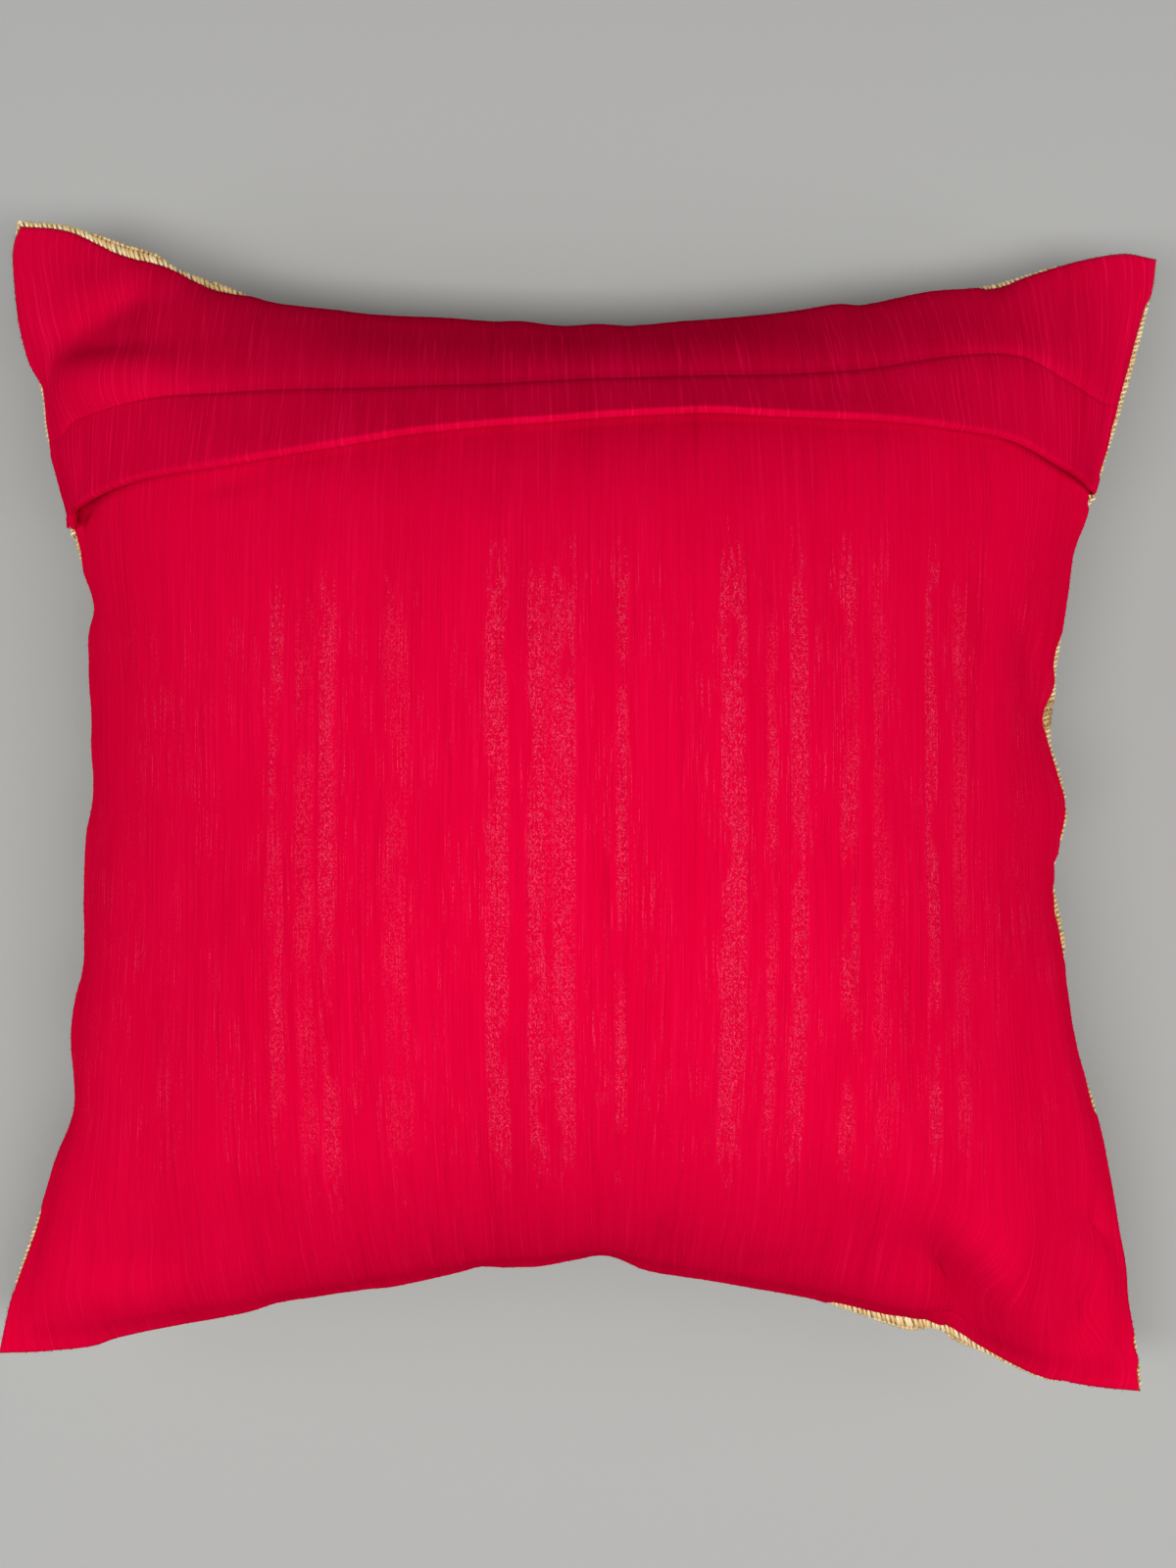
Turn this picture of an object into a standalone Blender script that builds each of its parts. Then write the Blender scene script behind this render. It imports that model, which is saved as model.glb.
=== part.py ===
"""Square cushion cover with its filling, lying on its front with the back up.

The back is two pieces of slubbed cloth: a large panel sewn in at the bottom and the sides,
and a shallow flap sewn in at the top, whose hemmed edge lies over the panel to close the
cover like an envelope. The front cloth is the filled body, and its edge shows as narrow
strips beside the back along some stretches of the seam.

Frame: metres, +Z up, origin on the resting surface under the middle of the cover,
+Y towards the flap side, +X to the right as seen from above.
"""

import math

import bmesh
import bpy
from mathutils import Vector

MM = 0.001

# Corner tips of the seam, as seen from above.
TIP_TOP_LEFT = Vector((-194.8, 194.2))
TIP_TOP_RIGHT = Vector((192.6, 191.2))
TIP_BOTTOM_RIGHT = Vector((196.6, -195.6))
TIP_BOTTOM_LEFT = Vector((-194.4, -193.0))

# Heights above the resting surface.
CROWN_RISE = 98.0
FRONT_DEPTH = 80.0
SEAM_DROP = 2.4

# Cloth and seam.
CLOTH_GAP = 0.5
PANEL_THICK = 1.5
FLAP_THICK = 1.5
HEM_THICK = 2.5
EDGE_THICK = 1.2
EDGE_DROOP = 1.0
EDGE_LEAST = 0.4

# Thickness by which each layer of the back carries its face beyond the seam, and the share
# of a side over which the flap's end tapers.
LAYER_COVER = 2.6
FLAP_END_LENGTH = 0.04

# Cells of the cloth grid. The flap's rows run over its hem, as shares of the hem's depth,
# and from there to the top seam. The panel ends hidden under one of the later rows.
COLUMNS = 32
ROWS_BELOW_FLAP = 24
HEM_ROWS = (0.0, 0.33, 0.67, 1.0)
PAST_HEM_ROWS = (0.05, 0.24, 0.46, 0.68, 0.86, 1.0)
HEM_LAST_ROW = len(HEM_ROWS) - 1
ROWS_UNDER_FLAP = HEM_LAST_ROW + len(PAST_HEM_ROWS)
PANEL_LAST_ROW = 6
CELL_CROWDING = 0.5
NORMAL_STEP = 0.004
CREASE_ANGLE = math.radians(50.0)

# Seam along each side, from its left or top end to its other end:
# share of the side, how far its outline is drawn in, its height.
SEAM_TOP = (
    (0.00, 0.0, 58.0),
    (0.04, 0.8, 58.0),
    (0.10, 7.3, 58.5),
    (0.18, 19.5, 59.0),
    (0.25, 25.5, 59.5),
    (0.36, 27.7, 60.0),
    (0.50, 28.6, 60.0),
    (0.62, 25.2, 59.5),
    (0.76, 17.0, 58.0),
    (0.86, 9.8, 56.0),
    (0.92, 2.4, 54.5),
    (0.97, -1.8, 53.5),
    (1.00, 0.0, 53.0),
)
SEAM_RIGHT = (
    (0.00, 0.0, 53.0),
    (0.03, 0.9, 53.0),
    (0.10, 8.2, 54.0),
    (0.18, 16.3, 55.0),
    (0.26, 26.2, 56.0),
    (0.34, 30.6, 57.0),
    (0.41, 34.2, 57.5),
    (0.48, 28.4, 57.5),
    (0.54, 31.4, 57.5),
    (0.62, 28.6, 57.0),
    (0.70, 22.9, 56.0),
    (0.79, 12.3, 54.5),
    (0.88, 6.2, 52.5),
    (0.95, 2.2, 51.0),
    (1.00, 0.0, 50.0),
)
SEAM_BOTTOM = (
    (0.00, 0.0, 47.0),
    (0.04, 0.8, 48.0),
    (0.10, 6.6, 49.5),
    (0.20, 15.3, 52.0),
    (0.32, 25.6, 54.5),
    (0.42, 34.6, 56.0),
    (0.52, 39.2, 56.5),
    (0.58, 34.8, 56.5),
    (0.70, 28.0, 55.5),
    (0.78, 19.6, 54.5),
    (0.82, 18.8, 53.5),
    (0.88, 7.8, 52.0),
    (0.94, 1.0, 51.0),
    (1.00, 0.0, 50.0),
)
SEAM_LEFT = (
    (0.00, 0.0, 58.0),
    (0.03, -2.4, 58.0),
    (0.08, -0.8, 57.5),
    (0.14, 6.8, 57.0),
    (0.22, 12.9, 57.0),
    (0.33, 26.2, 57.0),
    (0.42, 26.1, 57.0),
    (0.52, 26.8, 57.0),
    (0.63, 25.0, 56.0),
    (0.71, 21.0, 54.5),
    (0.78, 22.4, 52.5),
    (0.86, 12.9, 50.0),
    (0.93, 4.8, 48.5),
    (1.00, 0.0, 47.0),
)

# Broad curve of each side's draw-in: depth at the middle, sharpness and skew towards the end.
# What the seam bends beside it fades out within the cloth, over the bend fade.
BROAD_TOP = (29.3, 1.3, -0.31)
BROAD_RIGHT = (32.6, 1.6, -0.33)
BROAD_BOTTOM = (36.7, 1.8, 0.14)
BROAD_LEFT = (27.9, 1.4, 0.23)
BEND_FADE = 24.0

# Softness of the cover's shoulder: distance over which each side rises from its seam,
# at the middle of the side and at its tips.
SHOULDER_TOP = 44.0
SHOULDER_RIGHT = 46.0
SHOULDER_BOTTOM = 46.0
SHOULDER_LEFT = 46.0
SHOULDER_TIP = 70.0
TIP_SHARPNESS = 2.6

# Front cloth showing beside the back cloth: side, start share, end share, width.
EDGE_STRIPS = (
    ("top", 0.00, 0.07, 1.5),
    ("top", 0.05, 0.14, 3.2),
    ("top", 0.15, 0.21, 2.3),
    ("top", 0.84, 0.95, 0.8),
    ("right", 0.02, 0.21, 1.3),
    ("right", 0.34, 0.44, 2.2),
    ("right", 0.44, 0.52, 0.8),
    ("right", 0.54, 0.62, 1.3),
    ("right", 0.72, 0.77, 1.0),
    ("right", 0.94, 0.99, 0.9),
    ("bottom", 0.73, 0.80, 3.4),
    ("bottom", 0.79, 0.85, 2.2),
    ("bottom", 0.84, 0.91, 1.4),
    ("left", 0.13, 0.21, 0.9),
    ("left", 0.26, 0.31, 0.8),
    ("left", 0.86, 0.95, 1.1),
)
STRIP_RAMP = 0.025

# Free edge of the flap: share of the width, share of the height at which the edge lies,
# how far it stands off the panel, and the share of the flap that its hem takes. The
# stand-off fades quickly towards the top seam.
FLAP_EDGE = (
    (0.00, 0.735, 0.4, 0.29),
    (0.05, 0.7555, 2.2, 0.30),
    (0.11, 0.7765, 1.6, 0.32),
    (0.18, 0.796, 0.8, 0.33),
    (0.25, 0.8135, 0.4, 0.33),
    (0.32, 0.832, 0.3, 0.29),
    (0.40, 0.8485, 0.3, 0.26),
    (0.50, 0.8595, 0.3, 0.26),
    (0.60, 0.8615, 0.3, 0.25),
    (0.73, 0.8485, 0.3, 0.31),
    (0.83, 0.8385, 0.5, 0.42),
    (0.88, 0.829, 0.7, 0.44),
    (0.93, 0.81, 0.8, 0.39),
    (0.97, 0.799, 0.6, 0.35),
    (1.00, 0.793, 0.3, 0.36),
)
LIFT_FADE = 3

# Folds of the back: x, y, heading in degrees, half length, half width, height. They fade out
# towards the seams, as the fullness times the fold fade drops below 1.
BACK_FOLDS = (
    (-175.0, 153.8, 18.0, 15.0, 8.0, -4.0),
    (-156.5, 166.5, 53.0, 15.0, 8.0, -3.5),
    (-166.0, 140.5, -3.0, 26.0, 8.5, 4.0),
    (-172.0, 180.0, -8.0, 16.0, 5.5, -1.8),
    (170.0, 181.0, 15.0, 13.0, 6.0, -2.0),
    (177.0, 150.0, 75.0, 14.0, 6.0, -1.2),
    (-163.0, 88.0, 84.0, 20.0, 6.0, -2.0),
    (144.0, 50.0, -68.0, 22.0, 8.0, -3.5),
    (105.0, -141.0, -10.0, 26.0, 16.0, -4.5),
    (121.0, -141.0, -50.0, 20.0, 8.0, -3.5),
    (131.0, -160.0, -67.0, 18.0, 8.0, -3.0),
    (134.0, -139.0, -53.0, 16.0, 7.5, 3.5),
    (145.0, -158.0, -69.0, 16.0, 7.5, 3.0),
    (175.0, -138.5, -36.0, 15.0, 6.5, -3.5),
    (172.5, -171.0, -85.0, 14.0, 5.5, -2.0),
    (29.0, -137.0, 86.0, 16.0, 7.0, -2.0),
    (-178.0, -150.0, 70.0, 26.0, 7.0, -2.5),
    (-140.0, -148.0, 40.0, 30.0, 10.0, -2.5),
    (60.0, 30.0, 12.0, 70.0, 44.0, 2.0),
    (-70.0, -40.0, -20.0, 70.0, 50.0, 2.2),
)

# Folds of the front: x, y, heading in degrees, half length, half width, height.
FRONT_FOLDS = (
    (-150.0, 150.0, -45.0, 36.0, 9.0, 4.0),
    (150.0, 150.0, 45.0, 36.0, 9.0, 4.0),
    (150.0, -150.0, -45.0, 36.0, 9.0, 4.0),
    (-150.0, -150.0, 45.0, 36.0, 9.0, 4.0),
)
FOLD_FADE = 8.0

CRIMSON = (0.66, 0.004, 0.030, 1.0)
DEEP_CRIMSON = (0.60, 0.004, 0.028, 1.0)
PALE_GOLD = (0.72, 0.50, 0.26, 1.0)
MATT_ROUGHNESS = 0.8
BROCADE_ROUGHNESS = 0.55
BROCADE_METALLIC = 0.35


def smooth_value(rows, column, share):
    """Reads a table's column at a share along it, on a smooth curve through its rows."""
    last = len(rows) - 1
    step = 0
    while step < last - 1 and share > rows[step + 1][0]:
        step += 1
    start, end = rows[step], rows[step + 1]
    before, after = rows[max(step - 1, 0)], rows[min(step + 2, last)]
    width = end[0] - start[0]
    along = (share - start[0]) / width
    leave = (end[column] - before[column]) / (end[0] - before[0]) * width
    arrive = (after[column] - start[column]) / (after[0] - start[0]) * width
    return (
        start[column] * (2 * along**3 - 3 * along**2 + 1)
        + leave * (along**3 - 2 * along**2 + along)
        + end[column] * (3 * along**2 - 2 * along**3)
        + arrive * (along**3 - along**2)
    )


def stage_up(value, start, width):
    """Runs smoothly from 0 before a start to 1 past its width."""
    share = min(max((value - start) / width, 0.0), 1.0)
    return share * share * (3.0 - 2.0 * share)


def strip_width(side, share):
    """Width of front cloth that shows beside the back at a share along a side."""
    width = 0.0
    for strip_side, start, end, full_width in EDGE_STRIPS:
        if strip_side == side:
            inside = min(share - start, end - share) / STRIP_RAMP
            width = max(width, full_width * min(max(inside, 0.0), 1.0))
    return width


class Side:
    """One side of the cover, with its seam curve and the softness of its shoulder.

    The inward turn is 1 where the middle of the cover lies to the left of the way from
    the side's start to its end, and -1 where it lies to the right. The flap share is how
    much of the side the flap is sewn into.
    """

    def __init__(self, name, tips, rows, broad, shoulder, inward_turn, flap_share):
        self.name = name
        self.start, self.end = tips
        self.rows = rows
        self.broad = broad
        self.shoulder = shoulder
        self.flap_share = flap_share
        line = self.end - self.start
        self.length = line.length
        self.inward = Vector((-line.y, line.x)).normalized() * inward_turn

    def stand_out(self, share):
        """How far the back cloth's thickness carries it outward beyond the seam."""
        from_start = 1.0 - math.exp(-share * self.length / SHOULDER_TIP)
        from_end = 1.0 - math.exp(-(1.0 - share) * self.length / SHOULDER_TIP)
        slope = math.atan(CROWN_RISE * from_start * from_end / self.rise_length(share))
        flap = 1.0 - stage_up(share, self.flap_share - FLAP_END_LENGTH, FLAP_END_LENGTH)
        layers = 1.0 + flap if self.flap_share else 1.0
        return LAYER_COVER * layers * math.sin(slope)

    def seam(self, share):
        """Seam point of the back cloth: x, y and height."""
        draw_in = smooth_value(self.rows, 1, share) + strip_width(self.name, share)
        draw_in += self.stand_out(share)
        plan = self.start.lerp(self.end, share) + self.inward * draw_in
        return Vector((plan.x, plan.y, smooth_value(self.rows, 2, share)))

    def broad_seam(self, share):
        """Point of the broad curve that the seam follows, without its small bends."""
        depth, sharpness, skew = self.broad
        hump = max(4.0 * share * (1.0 - share), 0.0) ** sharpness
        draw_in = depth * hump * (1.0 + skew * (2.0 * share - 1.0))
        plan = self.start.lerp(self.end, share) + self.inward * draw_in
        return Vector((plan.x, plan.y, smooth_value(self.rows, 2, share)))

    def bend(self, share, inset):
        """How far the seam's small bends still move the cloth at a distance inside it."""
        return (self.seam(share) - self.broad_seam(share)) * math.exp(-inset / BEND_FADE)

    def front_edge(self, share):
        """Outermost point of the front cloth beside the seam, as an offset from it."""
        strip = strip_width(self.name, share)
        reach = EDGE_LEAST + strip + self.stand_out(share) * min(1.0, strip)
        return Vector((-self.inward.x * reach, -self.inward.y * reach, -EDGE_DROOP))

    def rise_length(self, share):
        """Distance over which the cover rises from this side's seam."""
        towards_tip = abs(2.0 * share - 1.0) ** TIP_SHARPNESS
        return self.shoulder + (SHOULDER_TIP - self.shoulder) * towards_tip


TOP_TIPS = (TIP_TOP_LEFT, TIP_TOP_RIGHT)
RIGHT_TIPS = (TIP_TOP_RIGHT, TIP_BOTTOM_RIGHT)
BOTTOM_TIPS = (TIP_BOTTOM_LEFT, TIP_BOTTOM_RIGHT)
LEFT_TIPS = (TIP_TOP_LEFT, TIP_BOTTOM_LEFT)
TOP = Side("top", TOP_TIPS, SEAM_TOP, BROAD_TOP, SHOULDER_TOP, -1.0, 0.0)
RIGHT = Side("right", RIGHT_TIPS, SEAM_RIGHT, BROAD_RIGHT, SHOULDER_RIGHT, -1.0, 0.215)
BOTTOM = Side("bottom", BOTTOM_TIPS, SEAM_BOTTOM, BROAD_BOTTOM, SHOULDER_BOTTOM, 1.0, 0.0)
LEFT = Side("left", LEFT_TIPS, SEAM_LEFT, BROAD_LEFT, SHOULDER_LEFT, 1.0, 0.265)


def seam_sheet(across, up):
    """Point of the sheet stretched between the four seams, before the filling lifts it."""
    top, bottom = TOP.broad_seam(across), BOTTOM.broad_seam(across)
    left, right = LEFT.broad_seam(1.0 - up), RIGHT.broad_seam(1.0 - up)
    low = BOTTOM.broad_seam(0.0).lerp(BOTTOM.broad_seam(1.0), across)
    high = TOP.broad_seam(0.0).lerp(TOP.broad_seam(1.0), across)
    point = bottom.lerp(top, up) + left.lerp(right, across) - low.lerp(high, up)
    width, height = (right - left).length, (top - bottom).length
    point += LEFT.bend(1.0 - up, across * width)
    point += RIGHT.bend(1.0 - up, (1.0 - across) * width)
    point += BOTTOM.bend(across, up * height)
    return point + TOP.bend(across, (1.0 - up) * height)


def fullness(across, up):
    """How far the filling lifts the cloth, from 0 at the seams to 1 at the crown."""
    width = (RIGHT.broad_seam(1.0 - up) - LEFT.broad_seam(1.0 - up)).length
    height = (TOP.broad_seam(across) - BOTTOM.broad_seam(across)).length
    from_left = 1.0 - math.exp(-across * width / LEFT.rise_length(1.0 - up))
    from_right = 1.0 - math.exp(-(1.0 - across) * width / RIGHT.rise_length(1.0 - up))
    from_bottom = 1.0 - math.exp(-up * height / BOTTOM.rise_length(across))
    from_top = 1.0 - math.exp(-(1.0 - up) * height / TOP.rise_length(across))
    return from_left * from_right * from_bottom * from_top


def fold_height(folds, x, y):
    """Height that a table of folds adds at a place in plan."""
    total = 0.0
    for fold_x, fold_y, heading, half_length, half_width, height in folds:
        turn = math.radians(heading)
        along = (x - fold_x) * math.cos(turn) + (y - fold_y) * math.sin(turn)
        aside = (y - fold_y) * math.cos(turn) - (x - fold_x) * math.sin(turn)
        total += height * math.exp(-((along / half_length) ** 2) - (aside / half_width) ** 2)
    return total


def back_surface(across, up):
    """Upper face of the filled front, on which the back cloth lies."""
    point = seam_sheet(across, up)
    full = fullness(across, up)
    folds = fold_height(BACK_FOLDS, point.x, point.y) * min(1.0, full * FOLD_FADE)
    point.z += CROWN_RISE * full + folds
    return point


def front_surface(across, up):
    """Lower face of the filled front, pressed flat where it rests."""
    point = seam_sheet(across, up)
    full = fullness(across, up)
    folds = fold_height(FRONT_FOLDS, point.x, point.y) * min(1.0, full * FOLD_FADE)
    point.z = max(0.0, point.z - SEAM_DROP - FRONT_DEPTH * full + folds)
    return point


def back_normal(across, up):
    """Direction that faces out of the back at a place of the cloth."""
    left, right = max(across - NORMAL_STEP, 0.0), min(across + NORMAL_STEP, 1.0)
    low, high = max(up - NORMAL_STEP, 0.0), min(up + NORMAL_STEP, 1.0)
    run = back_surface(right, up) - back_surface(left, up)
    rise = back_surface(across, high) - back_surface(across, low)
    return run.cross(rise).normalized()


def laid_on_back(across, up, stand_off):
    """Point that stands a given distance off the back's surface."""
    return back_surface(across, up) + back_normal(across, up) * stand_off


def crowded(share):
    """Share of a width at which a cell ends, with the cells closer near both seams."""
    return share - CELL_CROWDING * math.sin(2.0 * math.pi * share) / (2.0 * math.pi)


def crowded_at_start(share):
    """Share of a length at which a cell ends, with the cells closer near its start."""
    return share - CELL_CROWDING * math.sin(math.pi * share) / math.pi


def flap_depth(across, flap_row):
    """Share of the flap, from its free edge to the top seam, at one of its rows."""
    hem = smooth_value(FLAP_EDGE, 3, across)
    if flap_row <= HEM_LAST_ROW:
        return hem * HEM_ROWS[flap_row]
    return hem + (1.0 - hem) * PAST_HEM_ROWS[flap_row - HEM_LAST_ROW - 1]


def height_share(across, row):
    """Share of the height at a row of the grid, whose rows follow the flap's edge."""
    edge = smooth_value(FLAP_EDGE, 1, across)
    if row < ROWS_BELOW_FLAP:
        return edge * crowded_at_start(row / ROWS_BELOW_FLAP)
    return edge + (1.0 - edge) * flap_depth(across, row - ROWS_BELOW_FLAP)


def flap_inner(across, flap_row):
    """How far the flap's inner face stands off the filled front."""
    stand_off = smooth_value(FLAP_EDGE, 2, across)
    lift = stand_off * (1.0 - flap_depth(across, flap_row)) ** LIFT_FADE
    if flap_row > PANEL_LAST_ROW:
        return CLOTH_GAP + lift
    return CLOTH_GAP + PANEL_THICK + CLOTH_GAP + lift


def flap_thickness(flap_row):
    """Thickness of the flap, doubled in its hem."""
    return HEM_THICK if flap_row <= HEM_LAST_ROW else FLAP_THICK


def make_material(name, colour, roughness, metallic):
    """Makes a plain cloth material."""
    material = bpy.data.materials.new(name)
    material.use_nodes = True
    shader = material.node_tree.nodes["Principled BSDF"]
    shader.inputs["Base Color"].default_value = colour
    shader.inputs["Roughness"].default_value = roughness
    shader.inputs["Metallic"].default_value = metallic
    material.diffuse_color = colour
    return material


def cloth_solid(name, cells, low_point, high_point, material, collection):
    """Makes a closed solid between two faces over one grid of cells.

    Each face is given by a function of the grid's column and row.
    """
    columns, rows = cells
    mesh = bpy.data.meshes.new(name)
    build = bmesh.new()
    bmesh.ops.create_grid(build, x_segments=columns, y_segments=rows, size=0.5)
    bmesh.ops.triangulate(build, faces=build.faces[:], quad_method="FIXED")
    raised = bmesh.ops.extrude_face_region(build, geom=build.faces[:])
    upper = {item for item in raised["geom"] if isinstance(item, bmesh.types.BMVert)}
    for vertex in build.verts:
        column = round((vertex.co.x + 0.5) * columns)
        row = round((vertex.co.y + 0.5) * rows)
        place = high_point if vertex in upper else low_point
        vertex.co = place(column, row) * MM
    bmesh.ops.recalc_face_normals(build, faces=build.faces[:])
    build.to_mesh(mesh)
    build.free()
    mesh.shade_smooth()
    mesh.set_sharp_from_angle(angle=CREASE_ANGLE)
    mesh.materials.append(material)
    solid = bpy.data.objects.new(name, mesh)
    collection.objects.link(solid)
    return solid


def inner_share(column):
    """Share of the width at a column of the cloth grid."""
    return crowded(column / COLUMNS)


def make_filled_front(collection):
    """Front cloth with the filling: crown, drawn-in sides and the edge past the seam."""
    all_rows = ROWS_BELOW_FLAP + ROWS_UNDER_FLAP

    def grid_place(column, row):
        """Share across, row of the cloth grid and whether the place is past the seam."""
        inner_column = min(max(column - 1, 0), COLUMNS)
        inner_row = min(max(row - 1, 0), all_rows)
        return inner_share(inner_column), inner_row

    def edge_offset(column, row, across, up):
        """Step from the seam out to the front cloth's edge, or none inside the seam."""
        step = Vector((0.0, 0.0, 0.0))
        if column == 0:
            step += LEFT.front_edge(1.0 - up)
        if column == COLUMNS + 2:
            step += RIGHT.front_edge(1.0 - up)
        if row == 0:
            step += BOTTOM.front_edge(across)
        if row == all_rows + 2:
            step += TOP.front_edge(across)
        step.z = max(step.z, -EDGE_DROOP)
        return step

    def high_point(column, row):
        across, inner_row = grid_place(column, row)
        up = height_share(across, inner_row)
        return back_surface(across, up) + edge_offset(column, row, across, up)

    def low_point(column, row):
        across, inner_row = grid_place(column, row)
        up = height_share(across, inner_row)
        step = edge_offset(column, row, across, up)
        if step.length > 0.0:
            return back_surface(across, up) + step - Vector((0.0, 0.0, EDGE_THICK))
        return front_surface(across, up)

    material = make_material("gold_front_cloth", PALE_GOLD, BROCADE_ROUGHNESS, BROCADE_METALLIC)
    cells = (COLUMNS + 2, all_rows + 2)
    return cloth_solid("filled_front", cells, low_point, high_point, material, collection)


def make_back_panel(collection):
    """Large back panel, from the bottom seam to its end hidden under the flap."""

    def face(stand_off):
        """Face of the panel at a distance off the filled front."""

        def point(column, row):
            across = inner_share(column)
            return laid_on_back(across, height_share(across, row), stand_off)

        return point

    material = make_material("crimson_panel_cloth", CRIMSON, MATT_ROUGHNESS, 0.0)
    cells = (COLUMNS, ROWS_BELOW_FLAP + PANEL_LAST_ROW)
    inner, outer = face(CLOTH_GAP), face(CLOTH_GAP + PANEL_THICK)
    return cloth_solid("back_panel", cells, inner, outer, material, collection)


def make_back_flap(collection):
    """Shallow flap from the top seam, with its hemmed edge over the panel."""

    def inner(column, flap_row):
        across = inner_share(column)
        up = height_share(across, flap_row + ROWS_BELOW_FLAP)
        return laid_on_back(across, up, flap_inner(across, flap_row))

    def outer(column, flap_row):
        across = inner_share(column)
        up = height_share(across, flap_row + ROWS_BELOW_FLAP)
        stand_off = flap_inner(across, flap_row) + flap_thickness(flap_row)
        return laid_on_back(across, up, stand_off)

    material = make_material("crimson_flap_cloth", DEEP_CRIMSON, MATT_ROUGHNESS, 0.0)
    cells = (COLUMNS, ROWS_UNDER_FLAP)
    return cloth_solid("back_flap", cells, inner, outer, material, collection)


def centre_in_plan(solids):
    """Moves the solids together so that their common box is centred on the origin."""
    places = [vertex.co for solid in solids for vertex in solid.data.vertices]
    middle_x = (min(place.x for place in places) + max(place.x for place in places)) / 2.0
    middle_y = (min(place.y for place in places) + max(place.y for place in places)) / 2.0
    for solid in solids:
        solid.location = (-middle_x, -middle_y, 0.0)


def main():
    """Removes what the scene holds and builds the cushion cover."""
    for item in list(bpy.data.objects):
        bpy.data.objects.remove(item)
    collection = bpy.data.collections.new("envelope_cushion_cover")
    bpy.context.scene.collection.children.link(collection)
    makers = (make_filled_front, make_back_panel, make_back_flap)
    solids = [make(collection) for make in makers]
    centre_in_plan(solids)


main()
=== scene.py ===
"""Looks of a filled envelope cushion cover that lies on its front with the back up.

The back is a large crimson panel and a shallow crimson flap whose turned hem lies over the
panel. The front is gold brocade, whose edge shows beside the crimson cloth along stretches of
the seam, where its gold threads wrap over the edge. Lengths in the tables are millimetres in
the plan of the solids before they were centred; pieces are made in metres in the shared frame.
"""

from __future__ import annotations

import logging
import math
from dataclasses import dataclass, field
from enum import Enum
from typing import Any, Sequence, Union

import bpy
import numpy as np
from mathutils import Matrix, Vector
from mathutils.bvhtree import BVHTree

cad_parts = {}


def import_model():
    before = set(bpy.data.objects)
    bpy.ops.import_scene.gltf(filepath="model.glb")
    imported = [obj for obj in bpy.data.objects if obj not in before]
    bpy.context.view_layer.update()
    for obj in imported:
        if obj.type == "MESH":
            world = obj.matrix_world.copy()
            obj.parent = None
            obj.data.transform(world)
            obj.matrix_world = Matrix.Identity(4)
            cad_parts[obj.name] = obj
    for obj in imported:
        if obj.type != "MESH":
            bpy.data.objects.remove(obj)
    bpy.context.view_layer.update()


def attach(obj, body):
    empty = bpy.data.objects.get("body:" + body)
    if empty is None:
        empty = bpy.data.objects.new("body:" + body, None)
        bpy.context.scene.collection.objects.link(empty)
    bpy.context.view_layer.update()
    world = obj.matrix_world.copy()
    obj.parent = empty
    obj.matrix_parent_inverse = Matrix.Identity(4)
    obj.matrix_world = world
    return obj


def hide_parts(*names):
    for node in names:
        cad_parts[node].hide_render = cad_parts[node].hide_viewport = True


Array = np.ndarray
Colour = tuple[float, float, float]
Pair = tuple[float, float]
Ramp = Pair
Piece = bpy.types.Object
Material = bpy.types.Material
LOG = logging.getLogger("cushion_cover")

MM = 0.001
PLAN_SHIFT = (-0.293, 0.700)
CROWN_RISE = 98.0

# Corner tips of the seam, as seen from above.
TIP_TOP_LEFT = (-194.8, 194.2)
TIP_TOP_RIGHT = (192.6, 191.2)
TIP_BOTTOM_RIGHT = (196.6, -195.6)
TIP_BOTTOM_LEFT = (-194.4, -193.0)

# Seam along each side, from its left or top end to its other end:
# share of the side, how far its outline is drawn in, its height.
SEAM_TOP = (
    (0.00, 0.0, 58.0), (0.04, 0.8, 58.0), (0.10, 7.3, 58.5), (0.18, 19.5, 59.0),
    (0.25, 25.5, 59.5), (0.36, 27.7, 60.0), (0.50, 28.6, 60.0), (0.62, 25.2, 59.5),
    (0.76, 17.0, 58.0), (0.86, 9.8, 56.0), (0.92, 2.4, 54.5), (0.97, -1.8, 53.5),
    (1.00, 0.0, 53.0),
)
SEAM_RIGHT = (
    (0.00, 0.0, 53.0), (0.03, 0.9, 53.0), (0.10, 8.2, 54.0), (0.18, 16.3, 55.0),
    (0.26, 26.2, 56.0), (0.34, 30.6, 57.0), (0.41, 34.2, 57.5), (0.48, 28.4, 57.5),
    (0.54, 31.4, 57.5), (0.62, 28.6, 57.0), (0.70, 22.9, 56.0), (0.79, 12.3, 54.5),
    (0.88, 6.2, 52.5), (0.95, 2.2, 51.0), (1.00, 0.0, 50.0),
)
SEAM_BOTTOM = (
    (0.00, 0.0, 47.0), (0.04, 0.8, 48.0), (0.10, 6.6, 49.5), (0.20, 15.3, 52.0),
    (0.32, 25.6, 54.5), (0.42, 34.6, 56.0), (0.52, 39.2, 56.5), (0.58, 34.8, 56.5),
    (0.70, 28.0, 55.5), (0.78, 19.6, 54.5), (0.82, 18.8, 53.5), (0.88, 7.8, 52.0),
    (0.94, 1.0, 51.0), (1.00, 0.0, 50.0),
)
SEAM_LEFT = (
    (0.00, 0.0, 58.0), (0.03, -2.4, 58.0), (0.08, -0.8, 57.5), (0.14, 6.8, 57.0),
    (0.22, 12.9, 57.0), (0.33, 26.2, 57.0), (0.42, 26.1, 57.0), (0.52, 26.8, 57.0),
    (0.63, 25.0, 56.0), (0.71, 21.0, 54.5), (0.78, 22.4, 52.5), (0.86, 12.9, 50.0),
    (0.93, 4.8, 48.5), (1.00, 0.0, 47.0),
)

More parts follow.
